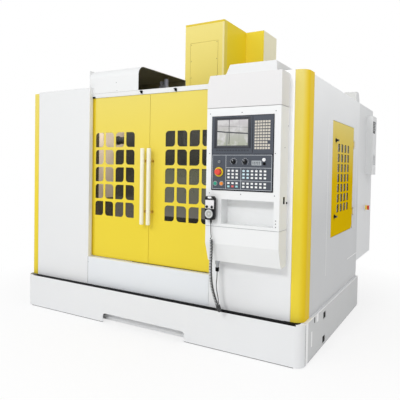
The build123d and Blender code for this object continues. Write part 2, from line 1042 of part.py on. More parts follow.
# Chip pans that slope from the side panels down to the bed
with BuildPart() as chip_pans:
    for side in (-1, 1):
        outer = side * (half_enclosure - sheet - flange - seat_gap)
        lip = side * (bed_half_width + seat_gap + sheet)
        with BuildSketch(front_plane(pan_front)):
            folded(
                [
                    (outer, pan_top),
                    (outer, pan_top - pan_rim),
                    (lip + side * pan_trough, pan_low),
                    (lip, pan_low),
                    (lip, pan_low - pan_rim / 2),
                ],
                sheet,
                bend_radius,
                inner(-side),
            )
        extrude(amount=pan_front - base_depth + sheet + seat_gap)
chip_pans.part.label = "chip_pans"
export_step(chip_pans.part, "parts/chip_pans.step")

# Header over the doors, with the rail that the doors hang on
with BuildPart() as door_header:
    with BuildSketch(side_plane(opening_left - header_lap)):
        folded(
            [
                (header_front, header_bottom),
                (header_front, header_top),
                (header_front + header_depth, header_top),
                (header_front + header_depth, header_top - header_return),
            ],
            sheet,
            bend_radius,
            Side.RIGHT,
        )
    extrude(amount=opening_right - opening_left + 2 * header_lap)
    with BuildSketch(side_plane(-half_enclosure + rail_inset_left)):
        span(rail_front, rail_front + rail_thickness, rail_top - rail_height, rail_top)
    extrude(amount=enclosure_width - rail_inset_left - rail_inset_right)
    for across in (opening_left + rail_bracket_inset, 0, opening_right - rail_bracket_inset):
        with BuildSketch(side_plane(across - bracket_width / 2)):
            span(
                rail_front + rail_thickness,
                rail_front + rail_thickness + bracket_thickness,
                rail_top - rail_height,
                header_top - sheet,
            )
        extrude(amount=bracket_width)
door_header.part.label = "door_header"
export_step(door_header.part, "parts/door_header.step")

# Covers on the roof: the hood over the tool changer, rounded at its front edge and open on its
# right, with the air unit that hangs in it, and the raised cover behind the console
with BuildPart() as roof_covers:
    with BuildSketch(side_plane(hood_left)):
        folded(
            [
                (header_front, header_top),
                (header_front, hood_top),
                (hood_rear, hood_top),
                (hood_rear, enclosure_top),
            ],
            sheet,
            [hood_radius, bend_radius],
            Side.RIGHT,
        )
    extrude(amount=hood_right - hood_left)
    with BuildSketch(side_plane(hood_left)) as cheek:
        span(header_front, hood_rear, header_top, hood_top)
        corner = cheek.vertices().group_by(Axis.Z)[-1].sort_by(Axis.Y)[0]
        fillet(corner, radius=hood_radius)
    extrude(amount=sheet)
    unit_x, unit_y = air_unit_place
    manifold_bottom = hood_top - air_unit_drop
    manifold_top = manifold_bottom + air_unit_height
    with BuildSketch(level_plane(manifold_bottom)):
        with Locations(air_unit_place):
            Rectangle(air_unit_width, air_unit_depth)
    extrude(amount=air_unit_height)
    with BuildSketch(level_plane(manifold_top)):
        with Locations((unit_x + air_filter_offset, unit_y)):
            Circle(air_filter_radius)
    extrude(amount=air_filter_height)
    with BuildSketch(front_plane(unit_y - air_unit_depth / 2)):
        gauge_x = unit_x - air_filter_offset
        with Locations((gauge_x, manifold_top + gauge_rise)):
            Circle(gauge_radius)
        span(
            gauge_x - gauge_stem / 2,
            gauge_x + gauge_stem / 2,
            manifold_bottom,
            manifold_top + gauge_rise,
        )
    extrude(amount=-air_unit_depth)
    with BuildSketch(front_plane(unit_y + air_unit_depth / 2)):
        span(
            unit_x + air_filter_offset - air_filter_radius,
            unit_x + air_filter_offset + air_filter_radius,
            manifold_bottom,
            hood_top,
        )
    extrude(amount=-bracket_thickness)
    with BuildSketch(front_plane(enclosure_front)):
        folded(
            [
                (roof_cover_left - roof_cover_slope, enclosure_top),
                (roof_cover_left, roof_cover_top),
                (roof_cover_right, roof_cover_top),
                (roof_cover_right + roof_cover_toe, enclosure_top),
            ],
            sheet,
            bend_radius,
            Side.RIGHT,
        )
    extrude(amount=-roof_cover_depth)
    with BuildSketch(front_plane(enclosure_front)):
        with BuildLine():
            Polyline(
                (roof_cover_left - roof_cover_slope, enclosure_top),
                (roof_cover_left, roof_cover_top),
                (roof_cover_right, roof_cover_top),
                (roof_cover_right + roof_cover_toe, enclosure_top),
                close=True,
            )
        make_face()
    extrude(amount=-sheet)
    cut_box(
        roof_cover_left - roof_cover_slope - sheet,
        roof_cover_right + roof_cover_toe + sheet,
        enclosure_front,
        enclosure_front + roof_cover_depth,
        enclosure_top - sheet,
        enclosure_top,
    )
roof_covers.part.label = "roof_covers"
export_step(roof_covers.part, "parts/roof_covers.step")


def leaf_edges(side):
    """Inner and outer edge of a door leaf, from the split outwards."""
    near = side * door_gap / 2
    return near, near + side * door_leaf_width


def cell_centres(side):
    """Centres of a leaf's window cells, as pairs of column number and place."""
    near, far = leaf_edges(side)
    first = near + side * (cell_margin + cell_width / 2)
    top = cells_top - cell_height / 2
    return [
        (column, (first + side * column * cell_pitch_x, top - row * cell_pitch_z))
        for column in range(cell_columns)
        for row in range(cell_rows)
    ]


def cell_lean(side, column):
    """Which corners of a cell are round: it alternates across both leaves."""
    across = cell_columns - 1 - column if side < 0 else column
    return 1 if across % 2 == 0 else -1


def cut_cells(side, lean):
    """Places of the cells of one lean, for the active sketch."""
    return [place for column, place in cell_centres(side) if cell_lean(side, column) == lean]


doors = {}
panes = {}
handles = {}
for side, word in ((-1, "left"), (1, "right")):
    near, far = leaf_edges(side)
    low_x, high_x = min(near, far), max(near, far)
    # Door leaf: a pan open at the back, its face cut by the window cells
    with BuildPart() as leaf:
        with BuildSketch(front_plane(door_front + door_depth)):
            span(low_x, high_x, door_bottom, door_top)
            span(
                low_x + sheet,
                high_x - sheet,
                door_bottom + sheet,
                door_top - sheet,
                mode=Mode.SUBTRACT,
            )
        extrude(amount=door_depth)
        with BuildSketch(front_plane(door_front + sheet)):
            span(low_x, high_x, door_bottom, door_top)
            for lean in (-1, 1):
                with Locations(*cut_cells(side, lean)):
                    add(
                        rounded_cell(cell_width, cell_height, cell_radius, lean),
                        mode=Mode.SUBTRACT,
                    )
        extrude(amount=sheet)
        for across in (near + side * hanger_offset, far - side * hanger_offset):
            with BuildSketch(side_plane(across - bracket_width / 2)):
                span(
                    door_front + door_depth - hanger_foot,
                    rail_front - hanger_gap,
                    door_top - hanger_drop,
                    rail_top + hanger_rise,
                )
            extrude(amount=bracket_width)
            with BuildSketch(front_plane(rail_front - hanger_gap)):
                with Locations((across, rail_top + roller_radius + seat_gap)):
                    Circle(roller_radius)
            extrude(amount=seat_gap - rail_thickness - hanger_gap)
    doors[word] = leaf
    # Window pane behind the cells
    with BuildPart() as pane:
        centres = [place for _, place in cell_centres(side)]
        low_cell = min(x for x, _ in centres) - cell_width / 2 - pane_lap
        high_cell = max(x for x, _ in centres) + cell_width / 2 + pane_lap
        bottom = min(z for _, z in centres) - cell_height / 2 - pane_lap
        with BuildSketch(front_plane(door_front + sheet)):
            span(low_cell, high_cell, bottom, cells_top + pane_lap)
        extrude(amount=-pane_thickness)
    panes[word] = pane
    # Bar handle on two posts
    with BuildPart() as handle:
        across = side * handle_offset
        bar_y = door_front - handle_standoff
        with BuildSketch(level_plane(handle_bottom)):
            with Locations((across, bar_y)):
                Circle(handle_radius)
        extrude(amount=handle_length)
        fillet(handle.edges().filter_by(GeomType.CIRCLE), radius=handle_end_radius)
        with BuildSketch(front_plane(door_front)):
            with Locations(
                (across, handle_bottom + handle_post_inset),
                (across, handle_bottom + handle_length - handle_post_inset),
            ):
                Circle(handle_post_radius)
        extrude(amount=handle_standoff)
    handles[word] = handle
doors["left"].part.label = "door_left"
export_step(doors["left"].part, "parts/door_left.step")
doors["right"].part.label = "door_right"
export_step(doors["right"].part, "parts/door_right.step")
panes["left"].part.label = "door_left_pane"
export_step(panes["left"].part, "parts/door_left_pane.step")
panes["right"].part.label = "door_right_pane"
export_step(panes["right"].part, "parts/door_right_pane.step")
handles["left"].part.label = "door_left_handle"
export_step(handles["left"].part, "parts/door_left_handle.step")
handles["right"].part.label = "door_right_handle"
export_step(handles["right"].part, "parts/door_right_handle.step")

# Service door in the right side: a pan with small cells and hinge barrels
with BuildPart() as service_door:
    with BuildSketch(side_plane(half_enclosure - service_depth)) as rim:
        span(service_front, service_rear, service_bottom, service_top)
        corner = rim.vertices().sort_by_distance(
            (mid_x + half_enclosure, front_y + service_rear, service_bottom)
        )[0]
        fillet(corner, radius=service_corner)
        offset(amount=-sheet, mode=Mode.SUBTRACT)
    extrude(amount=service_depth)
    with BuildSketch(side_plane(half_enclosure - sheet)) as skin:
        span(service_front, service_rear, service_bottom, service_top)
        corner = skin.vertices().sort_by_distance(
            (mid_x + half_enclosure, front_y + service_rear, service_bottom)
        )[0]
        fillet(corner, radius=service_corner)
        for column in range(slot_columns):
            lean = 1 if column % 2 == 0 else -1
            places = [
                (
                    slot_first_y + slot_width / 2 + column * slot_pitch_y,
                    slots_top - slot_height / 2 - row * slot_pitch_z,
                )
                for row in range(slot_rows)
            ]
            with Locations(*places):
                add(
                    rounded_cell(slot_width, slot_height, slot_radius, lean),
                    mode=Mode.SUBTRACT,
                )
        with Locations(*[(latch_y, height) for height in latch_heights]):
            Circle(latch_shaft_radius + running_gap, mode=Mode.SUBTRACT)
    extrude(amount=sheet)
    for height in service_hinges:
        with BuildSketch(level_plane(height - hinge_length / 2 + seat_gap)):
            with Locations((service_pin_x, service_pin_y)):
                Circle(hinge_radius)
            span(
                half_enclosure,
                half_enclosure + hinge_leaf_thickness,
                service_rear - hinge_leaf_length,
                service_pin_y,
            )
            with Locations((service_pin_x, service_pin_y)):
                Circle(hinge_pin_radius + running_gap, mode=Mode.SUBTRACT)
        extrude(amount=hinge_length - 2 * seat_gap)
service_door.part.label = "service_door"
export_step(service_door.part, "parts/service_door.step")

# Quarter-turn latches of the service door, their tongues upright and so unlatched
tongue_length = latch_inset + jamb_width + tongue_reach
latches = {}
for height, word in zip(latch_heights, ("lower", "upper")):
    with BuildPart() as latch:
        with BuildSketch(side_plane(half_enclosure + seat_gap)):
            with Locations((latch_y, height)):
                Circle(latch_rose_radius)
        extrude(amount=latch_rose_height)
        with BuildSketch(side_plane(half_enclosure + seat_gap + latch_rose_height)):
            with Locations((latch_y, height)):
                RectangleRounded(*latch_grip, latch_grip_radius)
        extrude(amount=latch_grip_height)
        with BuildSketch(side_plane(half_enclosure - service_depth - seat_gap)):
            with Locations((latch_y, height)):
                Circle(latch_shaft_radius)
        extrude(amount=service_depth + 2 * seat_gap)
        with BuildSketch(side_plane(half_enclosure - service_depth - seat_gap)):
            with Locations((latch_y, height + tongue_length / 2 - tongue_heel)):
                RectangleRounded(tongue_width, tongue_length, tongue_radius)
        extrude(amount=-tongue_thickness)
    latches[word] = latch
latches["lower"].part.label = "latch_lower"
export_step(latches["lower"].part, "parts/latch_lower.step")
latches["upper"].part.label = "latch_upper"
export_step(latches["upper"].part, "parts/latch_upper.step")

# Electrical cabinet, open at the rear, with hinge lugs, the bored switch plate and an outlet
# duct on its roof
cabinet_right = half_enclosure
cabinet_front = base_depth + seat_gap
cabinet_pin_x = cabinet_left - hinge_radius - seat_gap
cabinet_pin_y = cabinet_rear + seat_gap + hinge_pin_setback
cabinet_hinges = door_hinge_places(cabinet_bottom, side_top)
with BuildPart() as electrical_cabinet:
    with BuildSketch(level_plane(cabinet_bottom)):
        span(cabinet_left, cabinet_right, cabinet_front, cabinet_rear)
    extrude(amount=side_top - cabinet_bottom)
    with BuildSketch(level_plane(cabinet_bottom + sheet)):
        span(
            cabinet_left + sheet,
            cabinet_right - sheet,
            cabinet_front + sheet,
            cabinet_rear + sheet,
        )
    extrude(amount=side_top - cabinet_bottom - 2 * sheet, mode=Mode.SUBTRACT)
    with BuildSketch(side_plane(cabinet_right)):
        with Locations((switch_y, switch_height)):
            RectangleRounded(switch_plate, switch_plate, switch_plate_radius)
    extrude(amount=switch_plate_depth)
    with BuildSketch(side_plane(cabinet_right + switch_plate_depth)):
        with Locations((switch_y, switch_height)):
            Circle(switch_shaft_radius + running_gap)
    extrude(amount=-switch_plate_depth - sheet, mode=Mode.SUBTRACT)
    for height in cabinet_hinges:
        for low in (height - hinge_length / 2 - hinge_lug, height + hinge_length / 2):
            with BuildSketch(level_plane(low)):
                with Locations((cabinet_pin_x, cabinet_pin_y)):
                    Circle(hinge_radius)
                span(
                    cabinet_left - hinge_leaf_thickness,
                    cabinet_left,
                    cabinet_rear - hinge_leaf_length,
                    cabinet_pin_y - hinge_radius / 2,
                )
            extrude(amount=hinge_lug)
        with BuildSketch(level_plane(height - hinge_length / 2)):
            with Locations((cabinet_pin_x, cabinet_pin_y)):
                Circle(hinge_pin_radius)
        extrude(amount=hinge_length)
    with BuildSketch(side_plane(duct_left)):
        with BuildLine():
            Polyline(
                (duct_front, side_top),
                (duct_front, side_top + duct_height),
                (duct_front + duct_depth - duct_chamfer_y, side_top + duct_height),
                (duct_front + duct_depth, side_top + duct_height - duct_chamfer_z),
                (duct_front + duct_depth, side_top),
                close=True,
            )
        make_face()
    extrude(amount=duct_width)
electrical_cabinet.part.label = "electrical_cabinet"
export_step(electrical_cabinet.part, "parts/electrical_cabinet.step")

# Cabinet door, a pan with its hinge barrels and a recessed grip
with BuildPart() as cabinet_door:
    inner_face = cabinet_rear + seat_gap
    with BuildSketch(front_plane(inner_face)):
        span(cabinet_left, cabinet_right, cabinet_bottom, side_top)
    extrude(amount=-cabinet_door_depth)
    with BuildSketch(front_plane(inner_face)):
        span(
            cabinet_left + cabinet_door_rim,
            cabinet_right - cabinet_door_rim,
            cabinet_bottom + cabinet_door_rim,
            side_top - cabinet_door_rim,
        )
    extrude(amount=sheet - cabinet_door_depth, mode=Mode.SUBTRACT)
    for height in cabinet_hinges:
        with BuildSketch(level_plane(height - hinge_length / 2 + seat_gap)):
            with Locations((cabinet_pin_x, cabinet_pin_y)):
                Circle(hinge_radius)
            span(
                cabinet_pin_x,
                cabinet_left,
                cabinet_pin_y,
                cabinet_pin_y + hinge_leaf_thickness,
            )
            with Locations((cabinet_pin_x, cabinet_pin_y)):
                Circle(hinge_pin_radius + running_gap, mode=Mode.SUBTRACT)
        extrude(amount=hinge_length - 2 * seat_gap)
cabinet_door.part.label = "cabinet_door"
export_step(cabinet_door.part, "parts/cabinet_door.step")

# Mounting plate with drives and contactors inside the cabinet
with BuildPart() as control_gear:
    plate_y = cabinet_front + sheet
    plate_centre = (cabinet_left + cabinet_right) / 2
    plate_width = cabinet_right - cabinet_left - 2 * gear_plate_inset_x
    with BuildSketch(front_plane(plate_y)):
        span(
            plate_centre - plate_width / 2,
            plate_centre + plate_width / 2,
            cabinet_bottom + gear_plate_inset_z,
            side_top - gear_plate_inset_z,
        )
    extrude(amount=-gear_plate_thickness)
    for count, height, depth, centre_z in (
        (drive_count, drive_height, drive_depth, side_top - drive_drop),
        (contactor_count, contactor_height, contactor_depth, cabinet_bottom + contactor_rise),
    ):
        gear_pitch = plate_width / (count + 1)
        with BuildSketch(front_plane(plate_y + gear_plate_thickness)):
            with Locations((plate_centre, centre_z)):
                with GridLocations(gear_pitch, 1, count, 1):
                    Rectangle(gear_pitch * gear_fill, height)
        extrude(amount=-depth)
control_gear.part.label = "control_gear"
export_step(control_gear.part, "parts/control_gear.step")

# Heat exchanger on the side of the cabinet, with a louvred outlet
with BuildPart() as heat_exchanger:
    with BuildSketch(side_plane(cabinet_right)):
        span(
            exchanger_front,
            exchanger_front + exchanger_width,
            exchanger_bottom,
            exchanger_bottom + exchanger_height,
        )
    extrude(amount=exchanger_depth)
    outlet_y = exchanger_front + exchanger_width / 2
    outlet_z = exchanger_bottom + exchanger_height - outlet_drop
    with BuildSketch(side_plane(cabinet_right + exchanger_depth)):
        with Locations((outlet_y, outlet_z), (outlet_y, outlet_z - outlet_spacing)):
            with GridLocations(1, louvre_pitch, 1, louvre_count):
                Rectangle(*louvre)
    extrude(amount=-louvre_depth, mode=Mode.SUBTRACT)
heat_exchanger.part.label = "heat_exchanger"
export_step(heat_exchanger.part, "parts/heat_exchanger.step")

# Main switch: a turn grip on a shaft
with BuildPart() as main_switch:
    with BuildSketch(side_plane(cabinet_right + switch_plate_depth + seat_gap)):
        with Locations((switch_y, switch_height)):
            Circle(switch_radius)
    extrude(amount=switch_rose)
    with BuildSketch(side_plane(cabinet_right + switch_plate_depth + seat_gap + switch_rose)):
        with Locations((switch_y, switch_height)):
            RectangleRounded(
                switch_grip_width, 2 * (switch_radius - switch_grip_inset), switch_grip_radius
            )
    extrude(amount=switch_depth - switch_rose)
    with BuildSketch(side_plane(cabinet_right - switch_shaft_reach)):
        with Locations((switch_y, switch_height)):
            Circle(switch_shaft_radius)
    extrude(amount=switch_shaft_reach + switch_plate_depth + seat_gap)
main_switch.part.label = "main_switch"
export_step(main_switch.part, "parts/main_switch.step")


# Cap of the console, sloped at its left shoulder
with BuildPart() as console_cap:
    with BuildSketch(front_plane(enclosure_front)):
        with BuildLine():
            Polyline(
                (console_left, cap_bottom + console_seam),
                (console_left, console_top - cap_slope_height),
                (console_left + cap_slope_width, console_top),
                (console_right, console_top),
                (console_right, cap_bottom + console_seam),
                close=True,
            )
        make_face()
    extrude(amount=enclosure_front - console_front)
    cap_back = console_cap.faces().sort_by(Axis.Y)[-1]
    offset(amount=-sheet, openings=cap_back)
console_cap.part.label = "console_cap"
export_step(console_cap.part, "parts/console_cap.step")

# Body of the console: open back, openings for the two units, the tray and the pendant's hook
slot_top = pendant_bottom + pendant_height - pendant_rim
hook_reach = console_front - pendant_depth - seat_gap
with BuildPart() as console_body:
    with BuildSketch(front_plane(enclosure_front)):
        span(console_left, console_right, body_bottom, cap_bottom)
    extrude(amount=enclosure_front - console_front)
    cut_box(
        console_left + sheet,
        console_right - sheet,
        console_front + sheet,
        enclosure_front + 1,
        tray_top + 2 * sheet,
        cap_bottom - sheet,
    )
    cut_box(
        console_left + sheet,
        tray_left - sheet,
        console_front + sheet,
        enclosure_front + 1,
        body_bottom + sheet,
        tray_top + 3 * sheet,
    )
    cut_box(
        tray_left,
        tray_right,
        console_front - 1,
        console_front + tray_depth,
        tray_bottom,
        tray_top,
    )
    with BuildSketch(front_plane(console_front)):
        for low_z, height in ((unit_bottom, unit_height), (controls_bottom, controls_height)):
            span(
                panel_left + cutout_inset_x,
                panel_left + panel_width - cutout_inset_x,
                low_z + cutout_inset_z,
                low_z + height - cutout_inset_z,
            )
    extrude(amount=-sheet, mode=Mode.SUBTRACT)
    with BuildSketch(side_plane(console_right)):
        with Locations((console_front + side_slot_setback, side_slot_height)):
            Rectangle(*side_slot)
    extrude(amount=-sheet, mode=Mode.SUBTRACT)
    with BuildSketch(side_plane(pendant_x - hook_width / 2)):
        with BuildLine():
            Polyline(
                (console_front, slot_top - seat_gap),
                (hook_reach, slot_top - seat_gap),
                (hook_reach, slot_top + hook_lip),
                (hook_reach - hook_thickness, slot_top + hook_lip),
                (hook_reach - hook_thickness, slot_top - seat_gap - hook_thickness),
                (console_front, slot_top - seat_gap - hook_thickness),
                close=True,
            )
        make_face()
    extrude(amount=hook_width)
console_body.part.label = "console_body"
export_step(console_body.part, "parts/console_body.step")

# Lower box of the console, set back below its bend
with BuildPart() as console_lower:
    with BuildSketch(side_plane(console_left)):
        with BuildLine():
            Polyline(
                (enclosure_front, body_bottom - console_seam),
                (console_front, body_bottom - console_seam),
                (console_front, lower_bend),
                (console_front + lower_setback, console_bottom),
                (enclosure_front, console_bottom),
                close=True,
            )
        make_face()
    extrude(amount=console_right - console_left)
    lower_back = console_lower.faces().sort_by(Axis.Y)[-1]
    offset(amount=-sheet, openings=lower_back)
console_lower.part.label = "console_lower"
export_step(console_lower.part, "parts/console_lower.step")

# Control unit: bezel over its housing, with the screen's recess
with BuildPart() as cnc_unit:
    with BuildSketch(front_plane(console_front)):
        span(panel_left, panel_left + panel_width, unit_bottom, unit_bottom + unit_height)
    extrude(amount=panel_proud)
    with BuildSketch(front_plane(console_front)):
        span(
            panel_left + unit_seat_x,
            panel_left + panel_width - unit_seat_x,
            unit_bottom + unit_seat_z,
            unit_bottom + unit_height - unit_seat_z,
        )
    extrude(amount=-unit_depth)
    with BuildSketch(front_plane(panel_face)):
        span(
            screen_left,
            screen_left + screen_width,
            screen_bottom,
            screen_bottom + screen_height,
        )
    extrude(amount=-screen_recess, mode=Mode.SUBTRACT)
cnc_unit.part.label = "cnc_unit"
export_step(cnc_unit.part, "parts/cnc_unit.step")

# Screen pane
with BuildPart() as cnc_screen:
    with BuildSketch(front_plane(panel_face + screen_recess)):
        span(
            screen_left + seat_gap,
            screen_left + screen_width - seat_gap,
            screen_bottom + seat_gap,
            screen_bottom + screen_height - seat_gap,
        )
    extrude(amount=screen_recess - screen_sink)
cnc_screen.part.label = "cnc_screen"
export_step(cnc_screen.part, "parts/cnc_screen.step")

# Operator panel: a plate with bores for its controls and the raised collars round them
stem_hole = stem_radius + running_gap
with BuildPart() as operator_panel:
    with BuildSketch(front_plane(console_front)):
        span(
            panel_left,
            panel_left + panel_width,
            controls_bottom,
            controls_bottom + controls_height,
        )
    extrude(amount=panel_proud)
    with BuildSketch(front_plane(panel_face)):
        with Locations(estop_place):
            Circle(estop_collar_radius)
    extrude(amount=estop_collar_height)
    with BuildSketch(front_plane(panel_face)):
        with Locations(*button_places.values()):
            Circle(button_ring_radius)
    extrude(amount=button_height - button_travel - press_gap)
    with BuildSketch(front_plane(panel_face - bore_reach)):
        with Locations(*button_places.values()):
            Circle(button_radius + running_gap)
    extrude(amount=-bore_reach, mode=Mode.SUBTRACT)
    with BuildSketch(front_plane(panel_face - bore_reach)):
        with Locations(
            estop_place, key_switch_place, *button_places.values(), *knob_places.values()
        ):
            Circle(stem_hole)
    extrude(amount=-2 * bore_reach, mode=Mode.SUBTRACT)
operator_panel.part.label = "operator_panel"
export_step(operator_panel.part, "parts/operator_panel.step")

# Keys of the control unit and of the operator panel
with BuildPart() as panel_keys:
    with BuildSketch(front_plane(panel_face)):
        for column in range(mdi_columns):
            for row in range(mdi_rows):
                with Locations((mdi_left + column * mdi_pitch_x, mdi_bottom + row * mdi_pitch_z)):
                    Rectangle(*mdi_key)
        for columns, rows, left, bottom in zip(key_columns, key_rows, key_lefts, key_bottoms):
            for column in range(columns):
                for row in range(rows):
                    with Locations((left + column * key_pitch_x, bottom + row * key_pitch_z)):
                        Rectangle(*panel_key)
    extrude(amount=key_height)
panel_keys.part.label = "panel_keys"
export_step(panel_keys.part, "parts/panel_keys.step")

# Emergency stop: mushroom head on a stem
with BuildPart() as estop_button:
    head_back = panel_face - estop_collar_height - estop_travel - press_gap
    with BuildSketch(front_plane(head_back)):
        with Locations(estop_place):
            Circle(estop_radius)
    extrude(amount=estop_height - estop_travel - press_gap)
    fillet(estop_button.edges().group_by(Axis.Y)[0], radius=estop_round)
    with BuildSketch(front_plane(head_back)):
        with Locations(estop_place):
            Circle(stem_radius)
    extrude(amount=head_back - console_front + press_gap - stem_reach)
estop_button.part.label = "estop_button"
export_step(estop_button.part, "parts/estop_button.step")

# Start and stop buttons
buttons = {}
for word, place in button_places.items():
    with BuildPart() as button:
        with BuildSketch(front_plane(panel_face - button_travel - seat_gap)):
            with Locations(place):
                Circle(button_radius)
        extrude(amount=button_height - button_travel - seat_gap)
        with BuildSketch(front_plane(panel_face - button_travel - seat_gap)):
            with Locations(place):
                Circle(stem_radius)
        extrude(amount=-(panel_proud + button_travel + stem_lengths["button"]))
    buttons[word] = button
buttons["start"].part.label = "start_button"
export_step(buttons["start"].part, "parts/start_button.step")
buttons["stop"].part.label = "stop_button"
export_step(buttons["stop"].part, "parts/stop_button.step")

# Key switch with its key bow
with BuildPart() as key_switch:
    with BuildSketch(front_plane(panel_face - seat_gap)):
        with Locations(key_switch_place):
            Circle(key_switch_radius)
    extrude(amount=key_switch_rise)
    with BuildSketch(front_plane(panel_face - seat_gap - key_switch_rise)):
        with Locations(key_switch_place):
            Rectangle(*key_bow)
    extrude(amount=key_bow_height)
    with BuildSketch(front_plane(panel_face - seat_gap)):
        with Locations(key_switch_place):
            Circle(stem_radius)
    extrude(amount=-(panel_proud + stem_lengths["key"]))
key_switch.part.label = "key_switch"
export_step(key_switch.part, "parts/key_switch.step")

# Override knobs with their pointers
knobs = {}
for word, place in knob_places.items():
    with BuildPart() as knob:
        with BuildSketch(front_plane(panel_face - seat_gap)):
            with Locations(place):
                Circle(knob_radius)
        extrude(amount=knob_height, taper=knob_taper)
        with BuildSketch(front_plane(panel_face - seat_gap)):
            with Locations(place):
                Rectangle(pointer_width, 2 * (knob_radius + pointer_reach))
        extrude(amount=pointer_height)
        with BuildSketch(front_plane(panel_face - seat_gap)):
            with Locations(place):
                Circle(stem_radius)
        extrude(amount=-(panel_proud + stem_lengths["knob"]))
    knobs[word] = knob
knobs["feed"].part.label = "feed_knob"
export_step(knobs["feed"].part, "parts/feed_knob.step")
knobs["spindle"].part.label = "spindle_knob"
export_step(knobs["spindle"].part, "parts/spindle_knob.step")

# Handwheel pendant hooked on the console, with its hanging loop and cord boot
pendant_face = console_front - pendant_depth
wheel_place = (pendant_x, pendant_bottom + wheel_drop)
selector_places = {
    "axis": (pendant_x - selector_spacing / 2, pendant_bottom + selector_rise),
    "step": (pendant_x + selector_spacing / 2, pendant_bottom + selector_rise),
}
boot_y = console_front - pendant_depth / 2
with BuildPart() as pendant_body:
    with BuildSketch(front_plane(console_front)):
        with Locations((pendant_x, pendant_bottom + pendant_height / 2)):
            RectangleRounded(pendant_width, pendant_height, pendant_radius)
    extrude(amount=pendant_depth)
    with BuildSketch(front_plane(console_front)):
        with Locations((pendant_x, slot_top - pendant_slot / 2)):
            RectangleRounded(
                pendant_width - 2 * pendant_slot_inset, pendant_slot, pendant_slot_radius
            )
    extrude(amount=pendant_depth, mode=Mode.SUBTRACT)
    with BuildSketch(front_plane(pendant_face)):
        with Locations(wheel_place, *selector_places.values()):
            Circle(pendant_stem_radius + running_gap)
    extrude(amount=-pendant_bore_depth, mode=Mode.SUBTRACT)
    with BuildSketch(level_plane(pendant_bottom)):
        with Locations((pendant_x, boot_y)):
            Circle(boot_radius)
    extrude(amount=-boot_length, taper=boot_taper)
pendant_body.part.label = "pendant_body"
export_step(pendant_body.part, "parts/pendant_body.step")

# Handwheel with its grip
with BuildPart() as pendant_wheel:
    with BuildSketch(front_plane(pendant_face - seat_gap)):
        with Locations(wheel_place):
            Circle(wheel_radius)
    extrude(amount=wheel_height - seat_gap - wheel_grip_height)
    with BuildSketch(front_plane(pendant_face - wheel_height + wheel_grip_height)):
        with Locations(wheel_place):
            with PolarLocations(wheel_radius - wheel_grip_inset, 1, start_angle=wheel_grip_angle):
                Circle(wheel_grip_radius)
    extrude(amount=wheel_grip_height)
    with BuildSketch(front_plane(pendant_face - seat_gap)):
        with Locations(wheel_place):
            Circle(pendant_stem_radius)
    extrude(amount=-wheel_stem_length)
pendant_wheel.part.label = "pendant_wheel"
export_step(pendant_wheel.part, "parts/pendant_wheel.step")

# Axis and step selectors of the pendant
selectors = {}
for word, place in selector_places.items():
    with BuildPart() as selector:
        with BuildSketch(front_plane(pendant_face - seat_gap)):
            with Locations(place):
                Circle(selector_radius)
                Rectangle(
                    selector_pointer_width, 2 * (selector_radius + selector_pointer_reach)
                )
        extrude(amount=selector_height)
        with BuildSketch(front_plane(pendant_face - seat_gap)):
            with Locations(place):
                Circle(pendant_stem_radius)
        extrude(amount=-selector_stem_length)
    selectors[word] = selector
selectors["axis"].part.label = "axis_selector"
export_step(selectors["axis"].part, "parts/axis_selector.step")
selectors["step"].part.label = "step_selector"
export_step(selectors["step"].part, "parts/step_selector.step")

# Cord of the pendant: a straight lead, the curly stretch as its outer tube, a straight lead
gland_place = (640.0, 5.0)
lead_top = pendant_bottom - boot_length
connector_bottom = console_bottom - gland_length - connector_length
lead_route = [
    (pendant_x, boot_y, lead_top),
    (pendant_x, boot_y, lead_top - 45),
    (pendant_x + 4, boot_y, lead_top - 95),
]
curl_route = [
    (pendant_x + 4, boot_y, lead_top - 95),
    (pendant_x + 8, boot_y, lead_top - 145),
    (656.0, boot_y, 655.0),
    (653.0, boot_y, 590.0),
    (656.0, boot_y, 530.0),
    (662.0, boot_y, 475.0),
    (673.0, boot_y + 1, 425.0),
    (686.0, boot_y + 3, 378.0),
    (697.0, boot_y + 7, 335.0),
    (691.5, boot_y + 27, 302.0),
    (682.5, boot_y + 62, 290.5),
    (673.5, boot_y + 97, 302.0),
    (670.5, boot_y + 108, 319.0),
]
tail_route = [
    (670.5, boot_y + 108, 319.0),
    (667.5, boot_y + 118, 336.0),
    (660.0, boot_y + 118, 368.0),
    (650.0, boot_y + 118, 402.0),
    (*gland_place, 485.0),
    (*gland_place, connector_bottom),
]


def in_frame(point):
    """A point of a route, in the model's frame."""
    return Vector(mid_x + point[0], front_y + point[1], point[2])


def corner_radii(route):
    """The largest arc that each corner's shorter run allows."""
    points = [in_frame(point) for point in route]
    radii = []
    for before, corner, after in zip(points, points[1:], points[2:]):
        turn = (corner - before).get_angle(after - corner)
        shorter = min((corner - before).length, (after - corner).length)
        radii.append(0.45 * shorter / tan(radians(turn) / 2))
    return radii


cords = {}
for word, route, radius in (
    ("lead", lead_route, lead_radius),
    ("curl", curl_route, curl_radius),
    ("tail", tail_route, lead_radius),
):
    radii = corner_radii(route)
    with BuildPart() as tube:
        with BuildLine() as path:
            FilletPolyline(*[in_frame(point) for point in route], radius=radii)
        with BuildSketch(Plane(path.wires()[0] @ 0, z_dir=path.wires()[0] % 0)):
            Circle(radius)
        sweep()
    cords[word] = tube
    length = path.wires()[0].length
    share = tube.part.volume / (pi * radius**2 * length)
    print(word, "radii", [round(r) for r in radii], "length", round(length), round(share, 4))
cords["lead"].part.label = "pendant_lead"
export_step(cords["lead"].part, "parts/pendant_lead.step")
cords["curl"].part.label = "pendant_curl"
export_step(cords["curl"].part, "parts/pendant_curl.step")
cords["tail"].part.label = "pendant_tail"
export_step(cords["tail"].part, "parts/pendant_tail.step")

